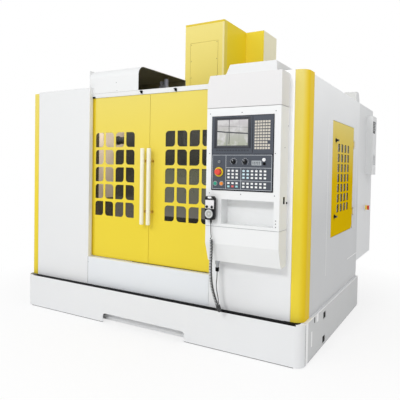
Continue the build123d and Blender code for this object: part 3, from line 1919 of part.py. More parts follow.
# Gland under the console and the plug connector of the pendant's cord
with BuildPart() as cord_connector:
    with BuildSketch(level_plane(console_bottom)):
        with Locations(gland_place):
            Circle(gland_radius)
    extrude(amount=-gland_length)
    with BuildSketch(level_plane(console_bottom - gland_nut_drop)):
        with Locations(gland_place):
            RegularPolygon(gland_radius + gland_nut_rim, 6)
    extrude(amount=-gland_nut_height)
    with BuildSketch(level_plane(console_bottom - gland_length)):
        with Locations(gland_place):
            Circle(connector_radius)
    extrude(amount=-connector_length)
cord_connector.part.label = "cord_connector"
export_step(cord_connector.part, "parts/cord_connector.step")


# Saddle on the bed's rails, carrying the rails, the ball screw and the motor of the table
x_screw_z = saddle_top + screw_radius + screw_lift
with BuildPart() as saddle:
    with BuildSketch(level_plane(saddle_bottom)):
        span(
            -saddle_half_width,
            saddle_half_width,
            table_y - saddle_half_depth,
            table_y + saddle_half_depth,
        )
    extrude(amount=saddle_thickness)
    for side in (-1, 1):
        with BuildSketch(side_plane(side * saddle_half_width)):
            with Locations((table_y, saddle_bottom + saddle_pocket_rise)):
                with GridLocations(saddle_half_depth - saddle_margin, 1, 2, 1):
                    RectangleRounded(
                        saddle_half_depth - 3 * saddle_margin,
                        saddle_pocket_height,
                        saddle_pocket_radius,
                    )
        extrude(amount=-side * saddle_pocket_depth, mode=Mode.SUBTRACT)
    carriage_bottom = saddle_bottom - carriage_lift - carriage_skirt
    for depth in (
        table_y - saddle_half_depth + saddle_margin,
        table_y + saddle_half_depth - saddle_margin - carriage_length,
    ):
        with BuildSketch(front_plane(depth)):
            for side in (-1, 1):
                rail_x = side * y_rail_x
                span(
                    rail_x - carriage_width / 2,
                    rail_x + carriage_width / 2,
                    carriage_bottom,
                    saddle_bottom,
                )
                span(
                    rail_x - rail_width / 2 - way_gap,
                    rail_x + rail_width / 2 + way_gap,
                    carriage_bottom,
                    saddle_bottom - carriage_lift + way_gap,
                    mode=Mode.SUBTRACT,
                )
        extrude(amount=-carriage_length)
    with BuildSketch(front_plane(table_y - nut_length / 2)):
        span(-nut_half_width, nut_half_width, bed_top + nut_gap, saddle_bottom)
        with Locations((0, y_screw_z)):
            Circle(screw_radius + running_gap, mode=Mode.SUBTRACT)
    extrude(amount=-nut_length)
    with BuildSketch(level_plane(saddle_top)):
        for side in (-1, 1):
            low = table_y + side * x_rail_y - rail_width / 2
            span(-saddle_half_width, saddle_half_width, low, low + rail_width)
    extrude(amount=rail_rise)
    for low in (-saddle_half_width, saddle_half_width - bearing_depth):
        with BuildSketch(side_plane(low)):
            span(
                table_y - x_bearing_half_width,
                table_y + x_bearing_half_width,
                saddle_top,
                x_screw_z + screw_radius + bearing_rim,
            )
        extrude(amount=bearing_depth)
    with BuildSketch(side_plane(bearing_depth - saddle_half_width)):
        with Locations((table_y, x_screw_z)):
            Circle(screw_radius)
    extrude(amount=2 * (saddle_half_width - bearing_depth))
    with BuildSketch(side_plane(saddle_half_width)):
        span(
            table_y - x_motor_half_width,
            table_y + x_motor_half_width,
            saddle_top - x_motor_drop,
            saddle_top + x_motor_rise,
        )
    extrude(amount=x_motor_length)
saddle.part.label = "saddle"
export_step(saddle.part, "parts/saddle.step")

# Work table with tee slots, its carriages and nut
with BuildPart() as table:
    with BuildSketch(level_plane(table_bottom)):
        span(
            -table_length / 2,
            table_length / 2,
            table_y - table_depth / 2,
            table_y + table_depth / 2,
        )
    extrude(amount=table_thickness)
    with BuildSketch(side_plane(-table_length / 2)):
        for number in range(table_slots):
            across = table_y + (number - (table_slots - 1) / 2) * table_slot_pitch
            span(
                across - slot_throat / 2,
                across + slot_throat / 2,
                table_top - slot_throat_depth,
                table_top,
            )
            span(
                across - slot_head / 2,
                across + slot_head / 2,
                table_top - slot_throat_depth - slot_head_depth,
                table_top - slot_throat_depth,
            )
    extrude(amount=table_length, mode=Mode.SUBTRACT)
    for low_x in (-table_carriage_x - carriage_length / 2, table_carriage_x - carriage_length / 2):
        with BuildSketch(side_plane(low_x)):
            for side in (-1, 1):
                across = table_y + side * x_rail_y
                span(
                    across - carriage_width / 2,
                    across + carriage_width / 2,
                    table_bottom - carriage_lift - carriage_skirt,
                    table_bottom,
                )
                span(
                    across - rail_width / 2 - way_gap,
                    across + rail_width / 2 + way_gap,
                    table_bottom - carriage_lift - carriage_skirt,
                    table_bottom - carriage_lift + way_gap,
                    mode=Mode.SUBTRACT,
                )
        extrude(amount=carriage_length)
    with BuildSketch(side_plane(-table_nut_length / 2)):
        span(
            table_y - table_nut_half_width,
            table_y + table_nut_half_width,
            saddle_top + nut_gap,
            table_bottom,
        )
        with Locations((table_y, x_screw_z)):
            Circle(screw_radius + running_gap, mode=Mode.SUBTRACT)
    extrude(amount=table_nut_length)
table.part.label = "table"
export_step(table.part, "parts/table.step")

# Headstock on the column's rails, with its nose, spindle bore, cover lugs and the spindle motor
with BuildPart() as headstock:
    with BuildSketch(side_plane(-head_half_width)):
        with BuildLine():
            Polyline(
                (head_front, head_bottom + head_chin),
                (head_front, head_top - head_brow),
                (head_front + head_brow, head_top),
                (head_rear, head_top),
                (head_rear, head_bottom + head_brow),
                (spindle_y + head_nose_reach, head_bottom),
                (head_front + head_chin_lead, head_bottom),
                close=True,
            )
        make_face()
    extrude(amount=2 * head_half_width)
    with BuildSketch(level_plane(spindle_nose + nose_gap)):
        with Locations((0, spindle_y)):
            Circle(nose_radius)
    extrude(amount=head_bottom - spindle_nose - nose_gap)
    for low_z in (
        head_bottom + head_carriage_rise,
        head_top - head_carriage_drop - carriage_length,
    ):
        with BuildSketch(level_plane(low_z)):
            for side in (-1, 1):
                span(
                    side * z_rail_x - carriage_width / 2,
                    side * z_rail_x + carriage_width / 2,
                    column_front - rail_rise - carriage_lift,
                    column_front - rail_rise + carriage_skirt,
                )
                span(
                    side * z_rail_x - rail_width / 2 - way_gap,
                    side * z_rail_x + rail_width / 2 + way_gap,
                    column_front - rail_rise - way_gap,
                    column_front - rail_rise + carriage_skirt,
                    mode=Mode.SUBTRACT,
                )
            span(
                -head_half_width,
                head_half_width,
                head_rear,
                column_front - rail_rise - carriage_lift,
            )
        extrude(amount=carriage_length)
    with BuildSketch(level_plane(head_bottom + head_nut_rise)):
        span(-head_nut_half_width, head_nut_half_width, head_rear, column_front - head_nut_gap)
        with Locations((0, z_screw_y)):
            Circle(screw_radius + running_gap, mode=Mode.SUBTRACT)
    extrude(amount=head_nut_height)
    lug_reach = head_cover_half_width - sheet - head_half_width
    for low_z in (head_bottom + lug_rise, head_top - lug_drop):
        with BuildSketch(level_plane(low_z)):
            for low in (head_half_width, -head_half_width - lug_reach):
                span(low, low + lug_reach, lug_front, lug_rear)
        extrude(amount=lug_height)
    with BuildSketch(level_plane(spindle_nose)):
        with Locations((0, spindle_y)):
            Circle(spindle_radius + running_gap)
    extrude(amount=spindle_length + spindle_relief, mode=Mode.SUBTRACT)
    motor_flange = motor_side + 2 * motor_flange_rim
    motor_bottom = head_top + motor_flange_height
    with BuildSketch(level_plane(head_top)):
        with Locations((0, spindle_y)):
            RectangleRounded(motor_flange, motor_flange, motor_flange_radius)
    extrude(amount=motor_flange_height)
    with BuildSketch(level_plane(motor_bottom)):
        with Locations((0, spindle_y)):
            RectangleRounded(motor_side, motor_side, motor_radius)
    extrude(amount=motor_height)
    with BuildSketch(level_plane(motor_bottom + motor_height)):
        with Locations((0, spindle_y)):
            Circle(motor_side / 2 - motor_cap_inset)
    extrude(amount=motor_cap_height)
headstock.part.label = "headstock"
export_step(headstock.part, "parts/headstock.step")

# Spindle with its tapered tool socket and two drive keys
with BuildPart() as spindle:
    with BuildSketch(level_plane(spindle_nose)):
        with Locations((0, spindle_y)):
            Circle(spindle_radius)
    extrude(amount=spindle_length)
    with BuildSketch(level_plane(spindle_nose)):
        with Locations((0, spindle_y)):
            Circle(taper_mouth_radius)
    extrude(amount=taper_length, taper=taper_angle, mode=Mode.SUBTRACT)
    with BuildSketch(level_plane(spindle_nose)):
        with Locations((0, spindle_y)):
            Circle(drawbar_radius)
    extrude(amount=drawbar_length, mode=Mode.SUBTRACT)
    with BuildSketch(level_plane(spindle_nose)):
        with Locations((-drive_key_x, spindle_y), (drive_key_x, spindle_y)):
            Rectangle(drive_key, drive_key)
    extrude(amount=-drive_key_height)
spindle.part.label = "spindle"
export_step(spindle.part, "parts/spindle.step")

# Sheet cover that rides with the head, open below and behind
with BuildPart() as headstock_cover:
    with BuildSketch(level_plane(head_cover_bottom)):
        span(
            -head_cover_half_width,
            head_cover_half_width,
            head_cover_front,
            head_cover_rear,
        )
    extrude(amount=cover_top - head_cover_bottom)
    cut_box(
        sheet - head_cover_half_width,
        head_cover_half_width - sheet,
        head_cover_front + sheet,
        head_cover_rear + 1,
        head_cover_bottom - 1,
        cover_top - sheet,
    )
headstock_cover.part.label = "headstock_cover"
export_step(headstock_cover.part, "parts/headstock_cover.step")

# Fixed cover round the top of the column, slotted in front for the head
with BuildPart() as column_cover:
    with BuildSketch(level_plane(column_cover_bottom)):
        span(
            -column_cover_half_width,
            column_cover_half_width,
            column_cover_front,
            column_cover_rear,
        )
    extrude(amount=column_cover_top - column_cover_bottom)
    cut_box(
        sheet - column_cover_half_width,
        column_cover_half_width - sheet,
        column_cover_front + sheet,
        column_cover_rear - sheet,
        column_cover_bottom - 1,
        column_cover_top - sheet,
    )
    cut_box(
        -column_cover_slot,
        column_cover_slot,
        column_cover_front - 1,
        column_cover_front + sheet + 1,
        column_cover_bottom - 1,
        cover_top - column_cover_brow,
    )
    for side in (-1, 1):
        with BuildSketch(side_plane(side * (column_half_width + seat_gap))):
            span(
                column_front + bracket_setback,
                column_front + bracket_setback + bracket_length,
                column_top - bracket_drop,
                column_top - bracket_drop + bracket_height,
            )
        extrude(amount=side * (column_cover_half_width - sheet - column_half_width - seat_gap))
column_cover.part.label = "column_cover"
export_step(column_cover.part, "parts/column_cover.step")

# Tool changer housing on the column's flank, with the trunnion of the magazine
changer_left = -arm_radius - changer_width / 2
trunnion_x = magazine_disc_x + magazine_thickness + seat_gap
with BuildPart() as tool_changer:
    with BuildSketch(level_plane(changer_bottom)) as case:
        span(
            changer_left,
            changer_left + changer_width,
            changer_front,
            changer_rear,
        )
        fillet(case.vertices().group_by(Axis.Y)[0], radius=changer_round)
    extrude(amount=changer_top - changer_bottom)
    with BuildSketch(level_plane(changer_bottom)):
        span(changer_left, -column_half_width, changer_rear - changer_bracket, changer_rear)
    extrude(amount=changer_top - changer_bottom)
    with BuildSketch(side_plane(changer_left)):
        with Locations((spindle_y, magazine_z)):
            Circle(trunnion_radius)
        span(
            spindle_y - trunnion_radius,
            spindle_y + trunnion_radius,
            changer_bottom + trunnion_foot,
            magazine_z,
        )
    extrude(amount=trunnion_x - changer_left)
    with BuildSketch(side_plane(trunnion_x)):
        with Locations((spindle_y, magazine_z)):
            Circle(magazine_bore)
    extrude(amount=-magazine_thickness - 2 * seat_gap)
    with BuildSketch(level_plane(changer_top)):
        with Locations((-arm_radius, spindle_y)):
            RectangleRounded(changer_motor, changer_motor, changer_motor_radius)
    extrude(amount=changer_motor_height)
    with BuildSketch(level_plane(changer_bottom)):
        with Locations((-arm_radius, spindle_y)):
            Circle(arm_shaft_radius + running_gap)
    extrude(amount=changer_bore_depth, mode=Mode.SUBTRACT)
tool_changer.part.label = "tool_changer"
export_step(tool_changer.part, "parts/tool_changer.step")

# Magazine: a disc with its rim of flanged tool pots
with BuildPart() as tool_magazine:
    with BuildSketch(side_plane(magazine_disc_x)):
        with Locations((spindle_y, magazine_z)):
            Circle(magazine_rim)
            Circle(magazine_bore + running_gap, mode=Mode.SUBTRACT)
            with PolarLocations(magazine_hole_ring, magazine_holes):
                Circle(magazine_hole_radius, mode=Mode.SUBTRACT)
    extrude(amount=magazine_thickness)
    with BuildSketch(side_plane(magazine_disc_x)):
        with Locations((spindle_y, magazine_z)):
            with PolarLocations(magazine_radius, pot_count):
                Circle(pot_radius)
                Circle(pot_bore, mode=Mode.SUBTRACT)
    extrude(amount=-pot_length)
    with BuildSketch(side_plane(magazine_disc_x - pot_length + pot_flange)):
        with Locations((spindle_y, magazine_z)):
            with PolarLocations(magazine_radius, pot_count):
                Circle(pot_radius + pot_flange_rise)
                Circle(pot_radius, mode=Mode.SUBTRACT)
    extrude(amount=-pot_flange)
tool_magazine.part.label = "tool_magazine"
export_step(tool_magazine.part, "parts/tool_magazine.step")

# Double-ended exchange arm with its grippers and shaft
with BuildPart() as exchange_arm:
    with BuildSketch(level_plane(arm_bottom)):
        with Locations((-arm_radius, spindle_y)):
            Circle(arm_hub_radius)
            Rectangle(arm_width, 2 * arm_radius - arm_inset)
            for side in (-1, 1):
                with Locations((0, side * (arm_radius - gripper_inset))):
                    Circle(gripper_radius)
        for side in (-1, 1):
            gripper_y = spindle_y + side * arm_radius
            with Locations((-arm_radius, gripper_y)):
                Circle(gripper_bore, mode=Mode.SUBTRACT)
            with Locations((-arm_radius - side * gripper_mouth[0] / 2, gripper_y)):
                Rectangle(*gripper_mouth, mode=Mode.SUBTRACT)
    extrude(amount=arm_thickness)
    with BuildSketch(level_plane(arm_bottom + arm_thickness)):
        with Locations((-arm_radius, spindle_y)):
            Circle(arm_shaft_radius)
    extrude(amount=changer_bottom - arm_bottom - arm_thickness + arm_shaft_reach)
exchange_arm.part.label = "exchange_arm"
export_step(exchange_arm.part, "parts/exchange_arm.step")
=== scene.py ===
import json
from math import cos, pi, radians, sin, tau

import bmesh
import bpy
from mathutils import Matrix, Vector


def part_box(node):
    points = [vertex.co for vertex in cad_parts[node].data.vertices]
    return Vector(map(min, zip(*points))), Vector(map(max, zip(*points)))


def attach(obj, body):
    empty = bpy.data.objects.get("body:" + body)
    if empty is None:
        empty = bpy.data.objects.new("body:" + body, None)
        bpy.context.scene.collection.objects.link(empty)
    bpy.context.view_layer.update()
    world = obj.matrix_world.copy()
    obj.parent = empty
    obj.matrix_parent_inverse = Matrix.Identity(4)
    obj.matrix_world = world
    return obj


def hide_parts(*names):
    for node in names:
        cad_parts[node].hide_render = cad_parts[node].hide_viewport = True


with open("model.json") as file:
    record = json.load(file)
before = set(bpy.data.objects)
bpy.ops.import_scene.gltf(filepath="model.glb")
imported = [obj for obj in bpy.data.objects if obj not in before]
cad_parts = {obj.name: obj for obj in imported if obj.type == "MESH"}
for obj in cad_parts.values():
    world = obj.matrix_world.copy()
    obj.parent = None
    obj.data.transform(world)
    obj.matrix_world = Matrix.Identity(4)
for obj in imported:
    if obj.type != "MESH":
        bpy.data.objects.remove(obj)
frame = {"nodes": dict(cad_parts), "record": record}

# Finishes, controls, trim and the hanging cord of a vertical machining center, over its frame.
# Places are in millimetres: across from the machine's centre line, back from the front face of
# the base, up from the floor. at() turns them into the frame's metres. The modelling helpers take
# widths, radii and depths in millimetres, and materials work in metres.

MM = 0.001
FORWARD = Vector((0, -1, 0))
RIGHTWARD = Vector((1, 0, 0))
DOWNWARD = Vector((0, 0, -1))

# Where the frame's origin stands: right of the centre line, behind the base's front
ORIGIN_X, ORIGIN_Y = 20.0, 1050.15
# Faces that the operator sees, and faces at the right side
CONSOLE_FACE, PANEL_FACE, DOOR_FACE, HEAD_FACE = -92.0, -96.0, 93.0, 890.0
CONSOLE_SIDE, SIDE_FACE, BASE_SIDE = 1105.0, 1218.0, 1238.0
# The lit screen's edges, and the middle of the handwheel
SCREEN_LEFT, SCREEN_RIGHT, SCREEN_BOTTOM, SCREEN_TOP = 669.0, 898.0, 1359.0, 1536.0
PENDANT_X, WHEEL_Z = 650.0, 930.0

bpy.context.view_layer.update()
nodes = frame["nodes"]
scene = bpy.context.scene


def at(x, y, z):
    """A place in the machine's own millimetres, in the model frame."""
    return Vector((x - ORIGIN_X, y - ORIGIN_Y, z)) * MM


def x_at(x):
    """How far across a distance from the centre line is, in the model frame."""
    return at(x, 0, 0).x


def y_at(y):
    """How far back a distance from the base's front is, in the model frame."""
    return at(0, y, 0).y


def tone(red, green, blue):
    """A colour as it is seen, 0 to 255, as the linear one that a socket takes."""
    seen = [value / 255 for value in (red, green, blue)]
    return (*[v / 12.92 if v <= 0.04045 else ((v + 0.055) / 1.055) ** 2.4 for v in seen], 1.0)


class Value:
    """A number inside a material, worked on with ordinary arithmetic."""

    def __init__(self, finish, socket):
        self.finish = finish
        self.socket = socket

    def math(self, operation, first, second=0.0, clamp=False):
        settings = {"operation": operation, "use_clamp": clamp}
        return self.finish.node("ShaderNodeMath", settings, {0: first, 1: second})

    def __add__(self, other):
        return self.math("ADD", self, other)

    __radd__ = __add__

    def __sub__(self, other):
        return self.math("SUBTRACT", self, other)

    def __rsub__(self, other):
        return self.math("SUBTRACT", other, self)

    def __mul__(self, other):
        return self.math("MULTIPLY", self, other)

    __rmul__ = __mul__

    def __truediv__(self, other):
        return self.math("DIVIDE", self, other)

    def __lt__(self, other):
        return self.math("LESS_THAN", self, other)

    def __gt__(self, other):
        return self.math("GREATER_THAN", self, other)

    def clamped(self):
        """Held between 0 and 1."""
        return self.math("ADD", self, 0.0, clamp=True)


# The colour sockets of a Mix node: the first two take colours, the last gives the mixed one
MIX_FIRST, MIX_SECOND, MIX_RESULT = 6, 7, 2


class Finish:
    """A procedural material: its nodes, and the shader that they feed."""

    def __init__(self, name, **constants):
        self.material = bpy.data.materials.new(name)
        self.material.use_nodes = True
        self.tree = self.material.node_tree
        self.shader = self.tree.nodes["Principled BSDF"]
        for name, value in constants.items():
            self.shader.inputs[name.replace("_", " ").title()].default_value = value
        self.place = self.node("ShaderNodeTexCoord", output="Object")
        split = self.node("ShaderNodeSeparateXYZ", {}, {0: self.place}, output="X")
        self.x = split
        self.y = Value(self, split.socket.node.outputs["Y"])
        self.z = Value(self, split.socket.node.outputs["Z"])

    def node(self, kind, settings=None, inputs=None, output=0):
        """A node with its settings, its sockets' values or links, and one of its outputs."""
        made = self.tree.nodes.new(kind)
        for name, value in (settings or {}).items():
            if name == "stops":
                ramp = made.color_ramp
                while len(ramp.elements) < len(value):
                    ramp.elements.new(0.5)
                for element, (position, colour) in zip(ramp.elements, value):
                    element.position = position
                    element.color = colour
            else:
                setattr(made, name, value)
        for name, value in (inputs or {}).items():
            self.feed(made.inputs[name], value)
        return Value(self, made.outputs[output])

    def feed(self, socket, value):
        if isinstance(value, Value):
            self.tree.links.new(value.socket, socket)
        else:
            socket.default_value = value

    def noise(self, scale, detail=2.0, roughness=0.5, stretch=None):
        place = self.place
        if stretch:
            place = self.node(
                "ShaderNodeMapping", {}, {"Vector": self.place, "Scale": stretch}
            )
        return self.node(
            "ShaderNodeTexNoise",
            {},
            {"Vector": place, "Scale": scale, "Detail": detail, "Roughness": roughness},
            output="Fac",
        )

    def blend(self, factor, first, second):
        """Colour between two, by a factor."""
        return self.node(
            "ShaderNodeMix",
            {"data_type": "RGBA"},
            {"Factor": factor, MIX_FIRST: first, MIX_SECOND: second},
            output=MIX_RESULT,
        )

    def between(self, value, low, high):
        """0 below low, 1 above high, straight between them."""
        return ((value - low) / (high - low)).clamped()

    def band(self, value, low, high):
        """1 between low and high, 0 elsewhere."""
        return (value > low) * (value < high)

    def colour(self, value):
        self.feed(self.shader.inputs["Base Color"], value)

    def rough(self, value):
        self.feed(self.shader.inputs["Roughness"], value)

    def bump(self, height, depth):
        """Surface relief of a depth in metres."""
        made = self.node(
            "ShaderNodeBump", {}, {"Height": height, "Distance": depth, "Strength": 1.0}
        )
        self.feed(self.shader.inputs["Normal"], made)


def painted(name, deep, pale, low, high, gloss=0.42, front=None, shine=0.3):
    """Powder coat, from a deep colour at one height to a pale one at another, in metres, faintly
    clouded, with a fine orange peel. The change with height is painted light and shade. front
    holds a depth and a second pair of colours, for what stands in front of it."""
    made = Finish(name)
    made.shader.inputs["Specular IOR Level"].default_value = shine
    cloud = made.noise(1.7, 3.0)
    rise = (made.between(made.z, low, high) + (cloud - 0.5) * 0.16).clamped()
    colour = made.blend(rise, deep, pale)
    if front:
        depth, front_deep, front_pale = front
        colour = made.blend(made.y < depth, colour, made.blend(rise, front_deep, front_pale))
    scuff = made.noise(38.0, 5.0, 0.7)
    worn = made.between(scuff, 0.66, 0.8) * (1.0 - made.between(made.z, 0.0, 0.28)) * 0.35
    made.colour(made.blend(worn, colour, tone(176, 174, 168)))
    made.rough(gloss + (made.noise(5.0, 4.0) - 0.5) * 0.12 + worn * 0.2)
    made.bump(made.noise(520.0, 2.0), 0.00006)
    return made


def plastic(name, colour, gloss, grain=1400.0, depth=0.00005, shine=0.3):
    """Moulded plastic: even colour, a fine spark-eroded grain, faint handling marks."""
    made = Finish(name)
    made.shader.inputs["Specular IOR Level"].default_value = shine
    marks = made.between(made.noise(160.0, 4.0, 0.65), 0.55, 0.8)
    made.colour(made.blend(marks * 0.12, colour, tone(150, 150, 150)))
    made.rough(gloss + marks * 0.14)
    made.bump(made.noise(grain, 2.0), depth)
    return made


def metal(name, colour, gloss, stretch=None, scale=60.0):
    """Bare metal with the fine parallel marks of its grinding. stretch packs them closer along
    the axes where it is above 1."""
    made = Finish(name, metallic=1.0)
    marks = made.noise(scale, 4.0, 0.6, stretch)
    stain = made.noise(7.0, 3.0)
    darker = tuple(value * 0.72 for value in colour[:3]) + (1.0,)
    made.colour(made.blend((marks * 0.5 + stain * 0.4).clamped(), darker, colour))
    made.rough(gloss + (marks - 0.5) * 0.2 + (stain - 0.5) * 0.1)
    made.bump(marks, 0.00004)
    return made


def window(name, stops, clear=None):
    """A tinted pane with a faint haze of coolant. stops are its tints by height in metres, painted
    light and shade of what is seen through it, and clear is a test for where it stays see-through."""
    made = Finish(name, roughness=0.08)
    made.shader.inputs["Specular IOR Level"].default_value = 0.2
    low, high = stops[0][0], stops[-1][0]
    span = [((height - low) / (high - low), colour) for height, colour in stops]
    tint = made.node(
        "ShaderNodeValToRGB", {"stops": span}, {0: made.between(made.z, low, high)}
    )
    haze = made.between(made.noise(6.0, 4.0, 0.6), 0.42, 0.8)
    made.colour(made.blend(haze * 0.14, tint, tone(128, 128, 112)))
    cover = 0.74 + haze * 0.08
    if clear:
        cover = cover * (1.0 - clear(made) * 0.88)
    made.feed(made.shader.inputs["Alpha"], cover)
    return made


def clear_cells(made):
    """The two outer columns of cells, and the top cell beside them."""
    outer = made.x < x_at(-335)
    top = (made.x < x_at(-235)) * (made.z > 1.36)
    return (outer + top).clamped()


def screen_painted_reflection():
    """The screen: a painted reflection of a window, which glows: pale fields divided by dark
    rules, in a dark frame.
    """
    made = Finish("screen_painted_reflection", roughness=0.14, coat_weight=0.5)
    low = at(SCREEN_LEFT, PANEL_FACE, SCREEN_BOTTOM)
    high = at(SCREEN_RIGHT, PANEL_FACE, SCREEN_TOP)
    across = (made.x - low.x) / (high.x - low.x)
    up = (made.z - low.z) / (high.z - low.z)
    sway = (made.noise(9.0, 2.0) - 0.5) * 0.06
    beam = 0.56 - across * 0.1 + sway
    rules = made.band(across + sway, 0.39, 0.41) * (up > 0.1)
    rules = rules + made.band(up - beam, -0.022, 0.022)
    rules = rules + made.band(up - beam, 0.2, 0.214) * 0.6 + made.band(across, 0.7, 0.708) * 0.4
    post = made.band(across - up * 0.05 + sway, 0.29, 0.35) * (up < beam)
    edge = 1.0 - made.band(across, 0.035, 0.965) * made.band(up, 0.05, 0.96)
    dark = (rules + edge).clamped()
    patches = made.between(made.noise(16.0, 4.0), 0.5, 0.62)
    reflection_glow = made.blend(up, tone(172, 178, 152), tone(214, 208, 214))
    reflection_glow = made.blend(patches, reflection_glow, tone(224, 222, 222))
    reflection_glow = made.blend(post * 0.6, reflection_glow, tone(134, 136, 136))
    reflection_glow = made.blend(dark, reflection_glow, tone(62, 64, 68))
    made.feed(made.shader.inputs["Emission Color"], reflection_glow)
    made.shader.inputs["Emission Strength"].default_value = 0.8
    made.colour(made.blend(dark, tone(60, 62, 62), tone(24, 26, 30)))
    return made


def white_coat(name):
    """The white of large pieces that are lined."""
    return painted(name, tone(233, 234, 235), tone(231, 232, 232), 0.2, 1.9)


def yellow_coat(name, pale=(230, 213, 112)):
    """The yellow of the doors and the posts, paler towards the top: a painted highlight."""
    return painted(name, tone(236, 212, 66), tone(*pale), 0.95, 1.85, shine=0.06)


def lined(made, hidden, colour):
    """Gives a coat another colour where hidden is 1."""
    link = made.shader.inputs["Base Color"].links[0]
    made.colour(made.blend(hidden, Value(made, link.from_socket), colour))
    return made


def within(made, low, high):
    """1 inside a box between two places, 0 outside it."""
    inside = made.band(made.x, low.x, high.x) * made.band(made.y, low.y, high.y)
    return inside * made.band(made.z, low.z, high.z)


def column_coat():
    """Cream, with a yellow front."""
    front = (y_at(1342), tone(240, 216, 56), tone(242, 220, 66))
    return painted(
        "column_cover_paint", tone(250, 242, 202), tone(252, 246, 214), 1.8, 2.5, 0.42, front, 0.12
    )


def head_coat():
    """Yellow, paler in front, with edges of their own at the front's right and top: the paler
    front, a painted highlight at the front's right edge and round onto the side, and painted shade
    along the front's top edge.
    """
    depth = y_at(HEAD_FACE + 3)
    made = painted(
        "head_cover_paint", tone(250, 220, 40), tone(252, 224, 50), 1.9, 2.5, 0.42,
        (depth, tone(241, 222, 112), tone(243, 227, 136)), 0.1,
    )
    front = made.y < depth
    # Painted highlights at the right edge and round the corner, painted shade along the top
    lined(made, front * (made.x > x_at(181)), tone(244, 230, 160))
    lined(made, front * (made.z > 2.508), tone(228, 202, 66))
    return lined(made, (1.0 - front) * (made.y < y_at(948)), tone(243, 222, 96))


def service_coat():
    """A dull yellow, deeper than the doors' as painted shade on this side, paler towards the top
    as a painted reflection, white on the rear edge.
    """
    made = painted(
        "service_door_paint", tone(231, 192, 12), tone(240, 222, 134), 1.15, 1.62, shine=0.0
    )
    made.shader.inputs["IOR"].default_value = 1.1
    rear_edge = within(made, at(1190, 1373, 700), at(1260, 1420, 1600))
    return lined(made, rear_edge, tone(226, 227, 228))


def base_coat():
    """White, greyer on the right side as painted shade, black inside the gutter as painted shade
    of the gap.
    """
    made = white_coat("base_coat")
    lined(made, made.x > x_at(BASE_SIDE - 1.5), tone(206, 207, 207))
    gutter = within(made, at(-1190, 4, 200), at(1190, 46.8, 267.6))
    return lined(made, gutter, tone(16, 16, 17))


def roof_coat():
    """White, with the shade inside the hood and the cooler air unit that hangs there."""
    made = white_coat("roof_coat")
    room = within(made, at(-611, 89.6, 1800), at(-113.4, 764.8, 1994.8))
    bend, bend_radius = at(0, 158, 1926), 0.0687
    y, z = made.y - bend.y, made.z - bend.z
    past_bend = (y < 0.0) * (z > 0.0) * (y * y + z * z > bend_radius**2)
    lined(made, room * (1.0 - past_bend), tone(122, 118, 96))
    air_unit = within(made, at(-214, 504, 1869), at(-142, 539.9, 1968.5))
    return lined(made, air_unit, tone(158, 160, 176))


def rear_coat():
    """White, with painted shade for the dim chamber inside and two painted lit stretches on its
    left wall.
    """
    made = white_coat("rear_panel_coat")
    lined(made, within(made, at(-1217.2, 51, 300), at(1200, 1596, 1826)), tone(66, 58, 40))
    for low, high in (
        (at(-1217.2, 862, 890), at(-1190, 1120, 1826)),
        (at(-1217.2, 1100, 1420), at(-1190, 1290, 1826)),
    ):
        lined(made, within(made, low, high), tone(228, 208, 184))
    return made


def left_door_coat():
    """The doors' yellow, with a painted shade along the left edge, where the post shades it."""
    made = yellow_coat("left_door_paint")
    return lined(made, made.x < x_at(-546), tone(226, 200, 48))


def post_coat():
    """The posts' yellow, deeper round the right corner as painted shade."""
    made = yellow_coat("post_paint", (230, 213, 124))
    return lined(made, made.between(made.x, x_at(1188), x_at(1217)), tone(240, 204, 28))


def switch_coat():
    """Red, on a yellow plate."""
    made = plastic("switch_red", tone(222, 62, 40), 0.3)
    return lined(made, made.x < x_at(1241), tone(246, 220, 110))


def exchanger_coat():
    """White, dark in the louvres of the right face."""
    made = white_coat("exchanger_coat")
    louvres = within(made, at(1277, 1930, 1583), at(1279, 2050, 1694))
    return lined(made, louvres, tone(20, 22, 28))


def wheel_coat():
    """The handwheel's pale dial, with a greyer disc in it and a dark rim round it."""
    made = plastic("handwheel_dial", tone(206, 208, 206), 0.3)
    middle = at(PENDANT_X, 0, WHEEL_Z)
    x, z = made.x - middle.x, made.z - middle.z
    squared_reach = x * x + z * z
    lined(made, made.band(squared_reach, 0.00004, 0.0004), tone(176, 178, 174))
    return lined(made, made.band(squared_reach, 0.00078, 0.01), tone(60, 62, 64))


